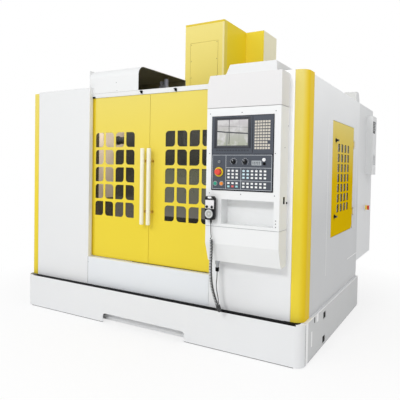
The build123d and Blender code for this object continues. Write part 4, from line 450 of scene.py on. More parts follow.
# Finishes by the frame's material slots
finishes = {
    "white_sheet": painted(
        "white_powder_coat", tone(232, 233, 234), tone(229, 230, 230), 0.2, 1.9
    ),
    "yellow_sheet": yellow_coat("yellow_powder_coat"),
    "zinc": metal("zinc_plate", tone(176, 179, 182), 0.34, scale=90.0),
    "ground_steel": metal("ground_steel", tone(196, 198, 200), 0.22, (1, 1, 14)),
    "table_iron": metal("scraped_iron", tone(150, 152, 154), 0.38, (14, 1, 1)),
    # The castings inside the chamber: darker than their own paint, painted shade of the dim
    # chamber
    "cast_paint": painted("casting_in_painted_shade", tone(96, 98, 84), tone(112, 112, 96), 0.1, 1.6),
    "pump_paint": painted("changer_paint", tone(30, 31, 31), tone(34, 35, 35), 0.5, 1.8),
    "handle_paint": painted(
        "handle_paint", tone(196, 158, 62), tone(204, 168, 72), 0.7, 1.4, 0.34,
        (y_at(62), tone(243, 240, 214), tone(244, 241, 218)),
    ),
    "black_plastic": plastic("black_plastic", tone(24, 25, 27), 0.4, shine=0.2),
    "dark_panel": plastic("slate_panel", tone(74, 79, 88), 0.42),
    "key_plastic": plastic("ivory_keys", tone(206, 200, 188), 0.4),
    "red_plastic": plastic("red_plastic", tone(226, 78, 66), 0.3),
    "green_plastic": plastic("green_plastic", tone(44, 158, 128), 0.28),
    "amber_plastic": plastic("amber_plastic", tone(236, 140, 52), 0.28),
    "cord_rubber": plastic("cord_rubber", tone(44, 46, 49), 0.34),
    "screen_glass": screen_painted_reflection(),
    # The right door's pane: its tints by height are painted light and shade of the chamber behind
    "door_glass": window("tinted_pane", [
        (0.81, tone(30, 28, 20)), (0.858, tone(30, 28, 20)), (0.864, tone(112, 110, 104)),
        (0.99, tone(104, 104, 92)), (1.19, tone(101, 102, 84)), (1.22, tone(90, 92, 78)),
        (1.25, tone(44, 43, 36)), (1.5, tone(58, 58, 54)),
    ]),
}

# Finishes of single pieces, which go before their slot's
console_white = painted(
    "console_white_coat", tone(236, 237, 237), tone(236, 237, 237), 0.6, 1.8
)
own_finish = {
    "base_sides": base_coat(),
    "roof_covers": roof_coat(),
    "left_rear_panels": rear_coat(),
    # The right side panel: darker low down and brighter towards the top, painted light and shade
    "side_panel_right": painted(
        "side_panel_coat", tone(208, 209, 210), tone(250, 251, 251), 0.9, 1.9
    ),
    "lower_front_panel": painted(
        "cool_white_coat", tone(230, 233, 236), tone(230, 233, 236), 0.2, 0.5
    ),
    # The strip right of the console: brighter from 1 m up, painted light beside the console
    "right_front_panel": painted(
        "strip_coat", tone(233, 234, 235), tone(252, 252, 252), 0.5, 1.0
    ),
    "corner_posts": post_coat(),
    "door_left": left_door_coat(),
    # The left door's pane: its tints by height are painted light and shade of the chamber behind,
    # and it stays clear at its outer cells
    "door_left_pane": window("half_clear_pane", [
        (0.81, tone(92, 88, 82)), (0.95, tone(88, 84, 74)), (1.0, tone(50, 46, 34)),
        (1.36, tone(44, 42, 32)), (1.5, tone(74, 76, 72)),
    ], clear_cells),
    "service_door": service_coat(),
    "heat_exchanger": exchanger_coat(),
    "main_switch": switch_coat(),
    "column_cover": column_coat(),
    "headstock_cover": head_coat(),
    "tool_magazine": plastic("magazine_black", tone(22, 22, 22), 0.45, shine=0.15),
    "console_cap": painted(
        "console_cap_coat", tone(226, 225, 225), tone(227, 226, 226), 1.6, 1.9
    ),
    "console_body": console_white,
    "console_lower": console_white,
    "pendant_wheel": wheel_coat(),
}
for part in frame["record"]["subparts"]:
    name = part["node"]
    finish = own_finish.get(name, finishes[part["material_slot"]])
    nodes[name].data.materials.clear()
    nodes[name].data.materials.append(finish.material)

# Finishes of the pieces that are made here
printed = plastic("printed_lines", tone(204, 209, 214), 0.5)
pale_print = plastic("pale_print", tone(214, 217, 220), 0.45)
rubber_black = plastic("seal_rubber", tone(12, 12, 13), 0.6, 900.0, 0.0001, 0.05)
shaded_brush_seal = plastic("shaded_brush_seal", tone(196, 170, 50), 0.7, 2200.0, 0.0003, 0.1)
bright_white = plastic("bright_edge", tone(252, 252, 252), 0.35)
grey_joint = plastic("grey_joint", tone(160, 163, 165), 0.5)
slate_dark = plastic("slate_dark", tone(46, 49, 56), 0.4)
sweep_yellow = plastic("sweep_yellow", tone(226, 200, 66), 0.5, shine=0.06)
screw_zinc = metal("screw_zinc", tone(120, 122, 124), 0.4, scale=220.0)
screw_dark = plastic("dark_screws", tone(92, 82, 40), 0.45)
brass = metal("handle_brass", tone(222, 184, 84), 0.36)


def deselect():
    """Object mode with nothing selected."""
    active = bpy.context.view_layer.objects.active
    if active and active.mode != "OBJECT":
        bpy.ops.object.mode_set(mode="OBJECT")
    bpy.ops.object.select_all(action="DESELECT")


def chosen(piece):
    """Makes one piece the active and only selected one."""
    deselect()
    bpy.context.view_layer.objects.active = piece
    piece.select_set(True)
    return piece


def block(name, low, high):
    """A box between two corners, as the start of a piece."""
    deselect()
    bpy.ops.mesh.primitive_cube_add(size=1, location=(low + high) / 2, scale=high - low)
    piece = bpy.context.active_object
    piece.name = name
    bpy.ops.object.transform_apply(location=True, rotation=True, scale=True)
    return piece


def drum(name, centre, radius, depth, axis="Y", sides=32):
    """A cylinder about its middle, in the frame, along one axis, as the start of a piece."""
    deselect()
    turn = {"X": (0, pi / 2, 0), "Y": (pi / 2, 0, 0), "Z": (0, 0, 0)}[axis]
    bpy.ops.mesh.primitive_cylinder_add(
        vertices=sides, radius=radius * MM, depth=depth * MM, location=centre, rotation=turn
    )
    piece = bpy.context.active_object
    piece.name = name
    bpy.ops.object.transform_apply(location=True, rotation=True, scale=True)
    return piece


def pick(piece, kind, test):
    """Opens a piece in edit mode with the faces or edges that pass a test selected."""
    chosen(piece)
    bpy.ops.object.mode_set(mode="EDIT")
    bpy.ops.mesh.select_mode(type=kind)
    bpy.ops.mesh.select_all(action="DESELECT")
    mesh = bmesh.from_edit_mesh(piece.data)
    mesh.normal_update()
    parts = mesh.faces if kind == "FACE" else mesh.edges
    for part in parts:
        part.select_set(bool(test(part)))
    bmesh.update_edit_mesh(piece.data)


def facing(direction):
    """A test for faces that look one way."""
    return lambda face: face.normal.dot(direction) > 0.95


def sunk(piece, direction, inset, depth):
    """Insets the faces that look one way and moves the inner face in or out."""
    pick(piece, "FACE", facing(direction))
    bpy.ops.mesh.inset(thickness=inset * MM, depth=depth * MM)
    deselect()
    return piece


def rounded(piece, axis, radius, segments, chosen_at=None):
    """Rounds the edges that lie along one axis, or those of them at a place that passes a test."""
    def along(edge):
        first, second = (vertex.co for vertex in edge.verts)
        share = abs((first - second).normalized()["XYZ".index(axis)])
        return share > 0.9 and (chosen_at is None or chosen_at(first))

    pick(piece, "EDGE", along)
    bpy.ops.mesh.bevel(offset=radius * MM, segments=segments, affect="EDGES")
    deselect()
    return piece


def softened(piece, width, segments=2, angle=35):
    """Rounds every edge sharper than an angle, and smooths the faces between them."""
    chosen(piece)
    bevel = piece.modifiers.new("edges", "BEVEL")
    bevel.width = width * MM
    bevel.segments = segments
    bevel.limit_method = "ANGLE"
    bevel.angle_limit = radians(angle)
    bpy.ops.object.modifier_apply(modifier="edges")
    bpy.ops.object.shade_smooth_by_angle(angle=radians(angle))
    return piece


def joined(name, pieces):
    """One piece from several."""
    deselect()
    for piece in pieces:
        piece.select_set(True)
    bpy.context.view_layer.objects.active = pieces[0]
    if len(pieces) > 1:
        bpy.ops.object.join()
    pieces[0].name = name
    return pieces[0]


def blocks(name, corners, edge, segments=2):
    """One piece of several boxes, each between two places, with eased edges."""
    return joined(name, [
        softened(block(name, at(*low), at(*high)), edge, segments) for low, high in corners
    ])


def repeated(name, model, places, turn=None):
    """Copies of a finished model, each moved to its place, as one piece; the model goes."""
    copies = []
    for place in places:
        copy = model.copy()
        copy.data = model.data.copy()
        scene.collection.objects.link(copy)
        move = Matrix.Translation(place)
        copy.data.transform(move @ turn if turn else move)
        copies.append(copy)
    bpy.data.objects.remove(model)
    return joined(name, copies)


def fitted(piece, body, finish, stands_for=()):
    """Gives a piece its finish, the body it rides on and what it stands for."""
    piece.data.materials.clear()
    piece.data.materials.append(finish.material)
    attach(piece, body)
    if stands_for:
        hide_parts(*stands_for)
    return piece


# The pendant's cord. Its coil begins and ends at these distances from the cord's two ends. The
# first and the last turn stretch by COIL_EASE and draw in by the share COIL_DRAW, and the plain
# line's own points, every PLAIN_STEP-th of them, keep COIL_GAP away from them
CORD_Y, TAIL_Y = -113.0, 5.0
LEAD_TOP = 862.0
PLUG_X = 640.0
WIRE = 5.8
COIL_START, COIL_END = 95.0, 224.0
COIL_RADIUS = 8.0
COIL_PITCH = 9.8
COIL_EASE = 14.0
COIL_DRAW = 0.75
COIL_GAP = 6.0
TURN_POINTS = 14
PLAIN_STEP = 8
lead_route = [
    (PENDANT_X, CORD_Y, LEAD_TOP),
    (PENDANT_X, CORD_Y, 817.0),
    (654.0, CORD_Y, 767.0),
]
curl_route = [
    (658.0, CORD_Y, 717.0),
    (656.0, CORD_Y, 655.0),
    (653.0, CORD_Y, 590.0),
    (656.0, CORD_Y, 530.0),
    (662.0, CORD_Y, 475.0),
    (674.0, CORD_Y + 1, 425.0),
    (690.0, CORD_Y + 3, 378.0),
    (704.0, CORD_Y + 7, 335.0),
    (704.0, CORD_Y + 27, 302.0),
    (694.0, CORD_Y + 62, 288.0),
    (672.0, CORD_Y + 97, 299.0),
    (655.0, CORD_Y + 108, 319.0),
]
tail_route = [
    (654.0, TAIL_Y, 338.0),
    (646.0, TAIL_Y, 370.0),
    (638.0, TAIL_Y, 406.0),
    (634.0, TAIL_Y, 446.0),
    (PLUG_X, TAIL_Y, 492.0),
    (PLUG_X, TAIL_Y, 538.0),
]


def curve_through(name, points, thickness, resolution):
    """A smooth curve of one open spline with those control points."""
    line = bpy.data.curves.new(name, "CURVE")
    line.dimensions = "3D"
    line.resolution_u = resolution
    line.bevel_depth = thickness / 2
    line.bevel_resolution = 3
    spline = line.splines.new("NURBS")
    spline.points.add(len(points) - 1)
    for point, place in zip(spline.points, points):
        point.co = (*place, 1.0)
    spline.order_u = 3
    spline.use_endpoint_u = True
    spline.use_smooth = True
    piece = bpy.data.objects.new(name, line)
    scene.collection.objects.link(piece)
    return piece


def coil_points(route):
    """The control points of the route's line, wound into a helix between the coil's ends."""
    guide = curve_through("guide", route, thickness=0.0, resolution=24)
    bpy.context.view_layer.update()
    mesh = bpy.data.meshes.new_from_object(guide)
    line = [vertex.co.copy() for vertex in mesh.vertices]
    bpy.data.objects.remove(guide)
    lengths = [0.0]
    for before, after in zip(line, line[1:]):
        lengths.append(lengths[-1] + (after - before).length)
    start, end = COIL_START * MM, lengths[-1] - COIL_END * MM
    turns = (end - start) / (COIL_PITCH * MM)
    count = int(turns * TURN_POINTS)
    gap = (COIL_EASE + COIL_GAP) * MM
    points = [place for place, run in zip(line, lengths) if run < start - gap][::PLAIN_STEP]
    side = RIGHTWARD
    segment = 0
    for step in range(count + 1):
        loose = max(0.0, 1.0 - min(step, count - step) / TURN_POINTS)
        ease = COIL_EASE * MM * loose * loose
        run = start + (end - start) * step / count + (ease if 2 * step > count else -ease)
        while segment < len(line) - 2 and lengths[segment + 1] < run:
            segment += 1
        share = (run - lengths[segment]) / (lengths[segment + 1] - lengths[segment])
        middle = line[segment].lerp(line[segment + 1], share)
        ahead = (line[segment + 1] - line[segment]).normalized()
        side = (side - ahead * side.dot(ahead)).normalized()
        across = ahead.cross(side)
        angle = tau * step / TURN_POINTS
        radius = COIL_RADIUS * MM * (1.0 - COIL_DRAW * loose)
        points.append(middle + side * radius * cos(angle) + across * radius * sin(angle))
    rest = [place for place, run in zip(line, lengths) if run > end + gap]
    points += rest[::-PLAIN_STEP][::-1]
    return points


route = [at(*place) for place in lead_route + curl_route + tail_route]
cord = curve_through("pendant_cord", coil_points(route), thickness=WIRE * MM, resolution=2)
rubber = plastic("cord_jacket", tone(16, 18, 22), 0.16, 2600.0, 0.00003, 0.8)
cord.data.materials.append(rubber.material)
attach(cord, "machine")
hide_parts("pendant_lead", "pendant_curl", "pendant_tail")
at(PENDANT_X, CORD_Y, LEAD_TOP)

# Keys, dials and rules of the console's two panels
KEY_HEIGHT = 1.5
KEY_PITCH = 28.6


def key_model(width, height):
    """A key cap: a low block with a dished, rimmed face and round edges."""
    low = Vector((-width / 2, -KEY_HEIGHT, -height / 2)) * MM
    high = Vector((width / 2, 0, height / 2)) * MM
    key = block("key", low, high)
    sunk(key, FORWARD, 1.3, -0.35)
    return softened(key, 0.35, 2, 20)


def key_grid(columns, rows, left, bottom, pitch_x, pitch_z):
    """Places of a block of keys by column and row, from its lower left."""
    return {
        (column, row): at(left + column * pitch_x, PANEL_FACE, bottom + row * pitch_z)
        for column in range(columns)
        for row in range(rows)
    }


# The letter block has one place without a key
letter_keys = key_grid(6, 10, 944, 1350, 17.5, 18.0)
letter_keys.pop((5, 2))
ivory = repeated("unit_keys", key_model(13.8, 12.8), list(letter_keys.values()))
fitted(ivory, "machine", finishes["key_plastic"], ["panel_keys"])
panel_keys = {"white": [], "pale": [], "blue": [], "red": []}
for columns, rows, left, bottom in (
    (3, 3, 763, 1166), (6, 3, 867, 1166), (3, 2, 763, 1109), (6, 2, 867, 1109),
):
    for (column, row), place in key_grid(columns, rows, left, bottom, KEY_PITCH, 21).items():
        colour = "white"
        if (columns, rows, row) == (3, 2, 0):
            colour = "red" if column == 1 else "blue"
        elif (columns, rows) == (6, 3) and column < 2:
            colour = "pale"
        panel_keys[colour].append(place)
for colour, seen in (
    ("white", tone(240, 241, 240)),
    ("pale", tone(206, 230, 238)),
    ("blue", tone(168, 218, 222)),
    ("red", tone(226, 108, 104)),
):
    name = colour + "_panel_keys"
    made = repeated(name, key_model(15.6, 11.6), panel_keys[colour])
    fitted(made, "machine", plastic(name + "_finish", seen, 0.34))

RULE_WIDTH = 2.2
RULE_HEIGHT = 0.25
LEFT, RIGHT, BOTTOM, TOP = 646.0, 1052.0, 1091.0, 1307.0
KEYS_LEFT, KEYS_TOP = 742.0, 1228.0


def rule(x0, z0, x1, z1):
    """The corners of a printed rule on the operator panel, along x or z, a hair proud of it."""
    half = RULE_WIDTH / 2
    low = (x0 - half, PANEL_FACE - RULE_HEIGHT, z0 - half)
    return low, (x1 + half, PANEL_FACE, z1 + half)


rules = blocks("panel_rules", [
    rule(LEFT, BOTTOM, RIGHT, BOTTOM),
    rule(LEFT, TOP, RIGHT, TOP),
    rule(LEFT, BOTTOM, LEFT, TOP),
    rule(RIGHT, BOTTOM, RIGHT, TOP),
    rule(KEYS_LEFT, BOTTOM, KEYS_LEFT, TOP),
    rule(KEYS_LEFT, KEYS_TOP, RIGHT, KEYS_TOP),
    rule(KEYS_LEFT, 1146, RIGHT, 1146),
    rule(848, BOTTOM, 848, KEYS_TOP),
], 0.12, 1)
fitted(rules, "machine", printed)

DIAL_TICKS = 15
DIAL_SWEEP = 260
ticks = []
for x, z in ((797, 1266), (876, 1266)):
    for step in range(DIAL_TICKS):
        angle = radians(-DIAL_SWEEP / 2 + DIAL_SWEEP * step / (DIAL_TICKS - 1))
        long = 6.0 if step % 2 == 0 else 4.0
        low = Vector((-0.9, -RULE_HEIGHT, 18.5)) * MM
        tick = block("tick", low, Vector((0.9, 0, 18.5 + long)) * MM)
        tick.data.transform(
            Matrix.Translation(at(x, PANEL_FACE, z)) @ Matrix.Rotation(angle, 4, "Y")
        )
        ticks.append(softened(tick, 0.12, 1))
fitted(joined("dial_ticks", ticks), "machine", pale_print)


def ring(name, centre, outer, inner, depth, sides=40):
    """A flat ring facing the operator: a drum whose middle is taken out."""
    made = drum(name, centre + FORWARD * depth * MM / 2, outer, depth, "Y", sides)
    pick(made, "FACE", lambda face: abs(face.normal.y) > 0.95)
    bpy.ops.mesh.inset(thickness=(outer - inner) * MM, depth=0)
    bpy.ops.mesh.bridge_edge_loops()
    deselect()
    return softened(made, min(depth, outer - inner) * 0.2, 2)


yellow_ring = ring("stop_ring", at(694, PANEL_FACE, 1199), 30.5, 21.5, 7.2)
fitted(yellow_ring, "machine", plastic("ring_yellow", tone(240, 205, 40), 0.36))
collars = [ring("collar", at(x, PANEL_FACE, 1125), 15.2, 11.3, 3.6) for x in (669, 714)]
fitted(joined("button_collars", collars), "machine", finishes["zinc"])

# Seals, screws, trim and small fittings
SCREW_HEIGHT = 1.2


def trim(name, low, high, finish, body="machine", edge=0.4):
    """A small straight piece between two places, with eased edges."""
    made = softened(block(name, at(*low), at(*high)), edge, 2)
    return fitted(made, body, finish)


def screw(radius):
    """A low round screw head facing the operator, with a dished recess."""
    head = drum("screw", FORWARD * SCREW_HEIGHT * MM / 2, radius, SCREW_HEIGHT, "Y", 16)
    sunk(head, FORWARD, radius * 0.45, -SCREW_HEIGHT * 0.5)
    return softened(head, 0.25, 2)


def screws(name, places, body="machine", turn=None, radius=3.2, finish=screw_zinc):
    """A set of screw heads."""
    made = repeated(name, screw(radius), [at(*place) for place in places], turn)
    return fitted(made, body, finish)


# A brush seal between the left post and the door, dark yellow for a painted shade that the post
# casts on the door's edge
trim("post_brush_left", (-571, 84, 494), (-564, 92.2, 1769), shaded_brush_seal)
trim("door_stop", (-570, 79, 1769), (-547, 88, 1781), rubber_black, edge=1.5)
# Black strips in the gutter under the front panels, along its lip and under the right post:
# painted shade of the gap between the base and the panels
trim("gutter_liner", (-1163, 5.2, 263), (1139, 46.6, 266), rubber_black)
lip = block("gutter_lip", at(-1160, -0.5, 265.6), at(1192, 6, 268.4))
pick(lip, "FACE", facing(RIGHTWARD))
bpy.ops.transform.resize(value=(1.0, 1.0, 2.6))
fitted(softened(lip, 0.2), "machine", rubber_black)
foot = block("post_joint", at(1100, 8, 266.4), at(1204, 92, 269.2))
rounded(foot, "Z", 52, 9, lambda place: place.x > x_at(1200) and place.y < y_at(20))
fitted(softened(foot, 0.4, 1), "machine", rubber_black)
trim("door_left_sweep", (-570, 96, 488.8), (-2, 118, 494), sweep_yellow,
     "door_left", 1.0)
trim("door_right_sweep", (2, 96, 488.8), (552, 118, 494), sweep_yellow,
     "door_right", 1.0)
trim("panel_joint_left", (-573, 46.4, 272), (-569, 47.2, 488), grey_joint)
trim("console_joint_top", (601, CONSOLE_FACE + 1.2, 1604.4), (1103.6, 42, 1606.6), rubber_black)
trim("console_joint_low", (601, CONSOLE_FACE + 1.2, 845.4), (1103.6, 42, 847.6), grey_joint)
trim("console_slot_rim", (CONSOLE_SIDE, -32, 1009), (CONSOLE_SIDE + 0.5, -4, 1053), rubber_black)
# Dark sheets behind the hose and cable holes of the base's right side: painted shade inside the
# holes
trim("hose_hole_back", (1232.2, 456, 188), (1233.8, 524, 236), rubber_black)
trim("cable_hole_back", (1232.2, 446, 22), (1233.8, 514, 70), rubber_black)
# Marks on the base's right side; the bright strip at its front corner is a painted highlight on
# the side's flange
for name, low, high, proud, finish, slot in (
    ("base_slot_dark", (238, 226), (253, 262), 0.6, rubber_black, "black_plastic"),
    ("base_patch", (291, 214), (333, 264), 0.8, bright_white, "white_sheet"),
    ("base_slot_light", (174, 87), (196, 186), 0.8, bright_white, "white_sheet"),
    ("base_corner_line", (56, 10), (60, 264), 0.5, rubber_black, "black_plastic"),
    ("base_corner_strip", (60, 8), (106, 266), 1.0, bright_white, "white_sheet"),
):
    trim(name, (BASE_SIDE, *low), (BASE_SIDE + proud, *high), finish)
# A painted highlight along the top edge of the base's right side
trim("base_edge_strip", (BASE_SIDE - 2, 110, 264), (BASE_SIDE + 0.8, 1600, 268.6), bright_white,
     edge=0.8)
# Painted highlights along the seams of the right side panel
for name, low, high in (
    ("side_seam_upright", (556, 470), (561, 1590)),
    ("side_seam_level", (1236, 474), (1598, 480)),
    ("side_seam_rear", (1516, 700), (1521, 1700)),
):
    trim(name, (SIDE_FACE, *low), (SIDE_FACE + 0.7, *high), bright_white)
# Dark strips under the base's edges: painted shade of the gap between the base and the floor
gap_shade_lines = blocks("base_gap_shade_strips", [
    ((-1180, 3, 0.8), (-366, 6, 6.2)),
    ((389, 3, 0.8), (1180, 6, 6.2)),
    ((1231, 60, 0.8), (1234, 1596, 6.2)),
    ((-1234, 60, 0.8), (-1231, 1596, 6.2)),
], 0.5, 1)
gap_shade = plastic("gap_shade_strip", tone(70, 70, 72), 0.7, 900.0, 0.0001, 0.15)
fitted(gap_shade_lines, "machine", gap_shade)

screws("console_screws", [(x, CONSOLE_FACE, z) for x, z in (
    (622, 1573), (847, 1573), (1071, 1573), (621, 1317), (1072, 1317), (624, 1061),
    (848, 1061), (1072, 1061), (1083, 911), (1083, 892), (1083, 872),
)])
quarter = Matrix.Rotation(pi / 2, 4, "Z")
screws("console_side_screws", [(CONSOLE_SIDE, 36, 1492), (CONSOLE_SIDE, -20, 1355)],
       turn=quarter, radius=3.0)
stud = drum("console_side_stud", at(CONSOLE_SIDE + 2, 28, 1014), 7, 5, "X", 24)
sunk(stud, RIGHTWARD, 2, -1.5)
fitted(softened(stud, 0.6), "machine", rubber_black)

plate = block(
    "head_access_plate", at(-143, HEAD_FACE - 1.4, 1965), at(137, HEAD_FACE, 2350)
)
sunk(plate, FORWARD, 9, 0.3)
fitted(softened(plate, 0.5), "head", own_finish["headstock_cover"])
screws("head_screws", [
    (x, HEAD_FACE - 1.8, z) for x in (-134, 128) for z in (2040, 2190, 2338)
], "head", finish=screw_dark)
seam = block("head_plate_seam", at(-146, HEAD_FACE - 0.6, 1962), at(140, HEAD_FACE, 2353))
fitted(softened(seam, 0.2), "head", plastic("seam_shadow", tone(176, 152, 60), 0.5))
screws("head_side_screws", [(180, 953, z) for z in (2500, 2350, 2192)], "head", quarter,
       finish=screw_dark)

clips = []
for x, z in ((-78, 1788), (231, 1785)):
    hook = softened(block("hook", at(x - 13, 78, z + 2), at(x + 9, 88.3, z + 12)), 2)
    arm = softened(block("arm", at(x + 1, 78, z - 12), at(x + 9, 88.3, z + 4)), 2)
    wheel = softened(drum("wheel", at(x + 2, 79, z - 4), 6.5, 8, "Y", 24), 1)
    clips += [hook, arm, wheel]
fitted(joined("header_clips", clips), "machine", rubber_black)
guide = [
    softened(block("guide", at(62, 80, 478), at(104, 88.5, 486)), 1.5),
    softened(block("toe", at(76, 80, 470), at(94, 88.5, 480)), 2.5),
]
fitted(joined("door_guide", guide), "machine", rubber_black)
screws("sill_screws", [(-566, 46.6, 446), (-160, 87, 470), (380, 87, 462)], radius=2.6)
screws("hood_screws", [(-322, 88, 1817), (-330, 88, 1880)], radius=2.4)

cups = [
    ring("cup", at(x, DOOR_FACE, z), 11, 8.6, 3, 28) for x in (-31.5, 31.5) for z in (886, 1267)
]
fitted(joined("handle_cups_left", cups[:2]), "door_left", brass)
fitted(joined("handle_cups_right", cups[2:]), "door_right", brass)

# Details of the console's two panels
UNIT_LEFT, UNIT_RIGHT = 639.0, 1059.0
GASKET = 1.6
gaskets = []
front = CONSOLE_FACE - GASKET
for low_z, high_z in ((1315, 1552), (1085, 1313)):
    gaskets += [
        ((635.5, front, low_z - 3.5), (UNIT_LEFT, CONSOLE_FACE, high_z + 3.5)),
        ((UNIT_RIGHT, front, low_z - 3.5), (1063, CONSOLE_FACE, high_z + 3.5)),
        ((UNIT_LEFT, front, high_z), (UNIT_RIGHT, CONSOLE_FACE, high_z + 3.5)),
        ((UNIT_LEFT, front, low_z - 4.5), (UNIT_RIGHT, CONSOLE_FACE, low_z)),
    ]
fitted(blocks("panel_gaskets", gaskets, 0.4), "machine", rubber_black)
front = PANEL_FACE - 1.4
screen_frame = blocks("screen_frame", [
    ((656, front, 1350), (SCREEN_LEFT, PANEL_FACE, 1545)),
    ((SCREEN_RIGHT, front, 1350), (911, PANEL_FACE, 1545)),
    ((SCREEN_LEFT, front, SCREEN_TOP), (SCREEN_RIGHT, PANEL_FACE, 1545)),
    ((SCREEN_LEFT, front, 1350), (SCREEN_RIGHT, PANEL_FACE, SCREEN_BOTTOM)),
], 0.5)
fitted(screen_frame, "machine", slate_dark)
trim("unit_groove", (922, -96.4, 1322), (924.6, PANEL_FACE, 1545), rubber_black, edge=0.3)
soft_places = [at(676 + 19.6 * number, PANEL_FACE, 1337) for number in range(12)]
soft_keys = repeated("soft_keys", key_model(14, 9), soft_places)
fitted(soft_keys, "machine", plastic("soft_key_slate", tone(58, 62, 70), 0.4))
light = softened(drum("indicator", FORWARD * 0.4 * MM, 1.5, 0.8, "Y", 10), 0.3)
light_places = [
    at(left + column * KEY_PITCH, PANEL_FACE, 1219.5)
    for columns, left in ((3, 763), (6, 867))
    for column in range(columns)
]
fitted(repeated("key_lights", light, light_places), "machine", pale_print)
display = block("display_bezel", at(920, -97.2, 1244), at(985, PANEL_FACE, 1273))
sunk(display, FORWARD, 3, -0.6)
fitted(softened(display, 0.4), "machine", plastic("display_grey", tone(176, 182, 186), 0.4))
digits = blocks("display_digits", [
    ((x, PANEL_FACE - 1.3, z), (x + 6.5, PANEL_FACE - 0.5, z + 6))
    for x in (926, 936.5, 947, 957.5, 968)
    for z in (1250, 1260.5)
], 0.4)
fitted(digits, "machine", slate_dark)
for name, x, z, radius, finish in (
    ("white_cap_button", 1003, 1279, 11, plastic("button_white", tone(240, 241, 242), 0.3)),
    ("black_cap_button", 1005, 1254, 8, rubber_black),
):
    cap = drum(name, at(x, PANEL_FACE - 4, z), radius, 8, "Y", 32)
    sunk(cap, FORWARD, radius * 0.3, -1.0)
    fitted(softened(cap, 1.0, 3), "machine", finish)
# A dark line along the operator panel's lower and right edges: painted shadow
rim = blocks("operator_panel_rim", [
    ((639.4, PANEL_FACE - 0.3, 1085.2), (1058.6, PANEL_FACE, 1089.2)),
    ((1054.4, PANEL_FACE - 0.3, 1089.2), (1058.6, PANEL_FACE, 1312.6)),
], 0.2, 1)
fitted(rim, "machine", plastic("panel_rim", tone(24, 26, 40), 0.4))
for body in ("feed_knob", "spindle_knob"):
    knob_low, knob_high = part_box(body)
    middle = (knob_low + knob_high) / 2
    front = knob_low.y
    line = block(
        body + "_pointer",
        Vector((middle.x - 1.3 * MM, front - 0.3 * MM, middle.z + 2 * MM)),
        Vector((middle.x + 1.3 * MM, front + 0.5 * MM, middle.z + 11 * MM)),
    )
    fitted(softened(line, 0.2, 1), body, pale_print)

# Face of the pendant
pendant_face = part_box("pendant_body")[0].y / MM + ORIGIN_Y
label = block("pendant_plate", at(618.5, pendant_face - 0.9, 962), at(681.5, pendant_face, 1018))
sunk(label, FORWARD, 2.0, -0.25)
fitted(softened(label, 0.3), "machine", plastic("plate_grey", tone(234, 232, 234), 0.36))
dial = ring("pendant_dial", at(PENDANT_X, pendant_face, WHEEL_Z), 33.5, 31.4, 2.2, 48)
fitted(dial, "machine", rubber_black)
grip = drum("plug_grip", at(PLUG_X, TAIL_Y, 547), 12.5, 27, "Z", 32)
sunk(grip, DOWNWARD, 5, 2.5)
fitted(softened(grip, 5, 4), "machine", rubber_black)

# Housing of the pendant: rounded corners, a back that narrows towards the console, and the
# loop that it hangs by
housing = block("pendant_housing", at(614, pendant_face, 890), at(686, CONSOLE_FACE, 1043))
rounded(housing, "Y", 15, 6)
pick(housing, "FACE", facing(-FORWARD))
bpy.ops.transform.translate(value=(0, -24 * MM, 0))
bpy.ops.mesh.extrude_region_move(TRANSFORM_OT_translate={"value": (0, 23.7 * MM, 0)})
bpy.ops.transform.resize(value=(0.7, 1.0, 0.84))
softened(housing, 1.6, 3)
eye = block("eye", at(626, pendant_face - 8, 1015.5), at(674, CONSOLE_FACE + 8, 1032))
rounded(eye, "Y", 6, 5)
chosen(housing)
cut = housing.modifiers.new("loop", "BOOLEAN")
cut.operation = "DIFFERENCE"
cut.solver = "EXACT"
cut.object = eye
bpy.ops.object.modifier_apply(modifier="loop")
bpy.ops.object.shade_smooth_by_angle(angle=radians(35))
bpy.data.objects.remove(eye)
boot = drum("pendant_boot", at(PENDANT_X, CORD_Y, 878.5), 8.2, 33, "Z", 28)
pick(boot, "FACE", facing(DOWNWARD))
bpy.ops.transform.resize(value=(0.5, 0.5, 1.0))
softened(boot, 0.8)
body_black = plastic("pendant_black", tone(22, 22, 24), 0.36, shine=0.25)
fitted(joined("pendant_housing", [housing, boot]), "machine", body_black,
       ["pendant_body"])

# Left corner: the post's outer edge, tighter than the right one
corner_low, corner_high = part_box("corner_posts")
corner = block(
    "left_post_edge",
    Vector((corner_low.x, corner_low.y - 0.3 * MM, corner_low.z)),
    Vector((x_at(-1163.4), y_at(106), corner_high.z)),
)
rounded(corner, "Z", 9, 5,
        lambda place: place.x < corner_low.x + MM and place.y < corner_low.y + MM)
fitted(softened(corner, 0.4, 2), "machine", finishes["yellow_sheet"])

# Panes behind the slots of the service door
service_pane = block("service_pane", at(1209.5, 800, 840), at(1213.5, 1262, 1452))
sunk(service_pane, RIGHTWARD, 8, -0.4)
# Their tints by height are painted light and shade of what lies behind the slots
smoke = window("smoked_pane", [
    (0.83, tone(86, 78, 50)), (1.1, tone(92, 88, 70)), (1.46, tone(112, 112, 98)),
])
fitted(softened(service_pane, 0.6), "service_door", smoke)

# Floor, light and camera


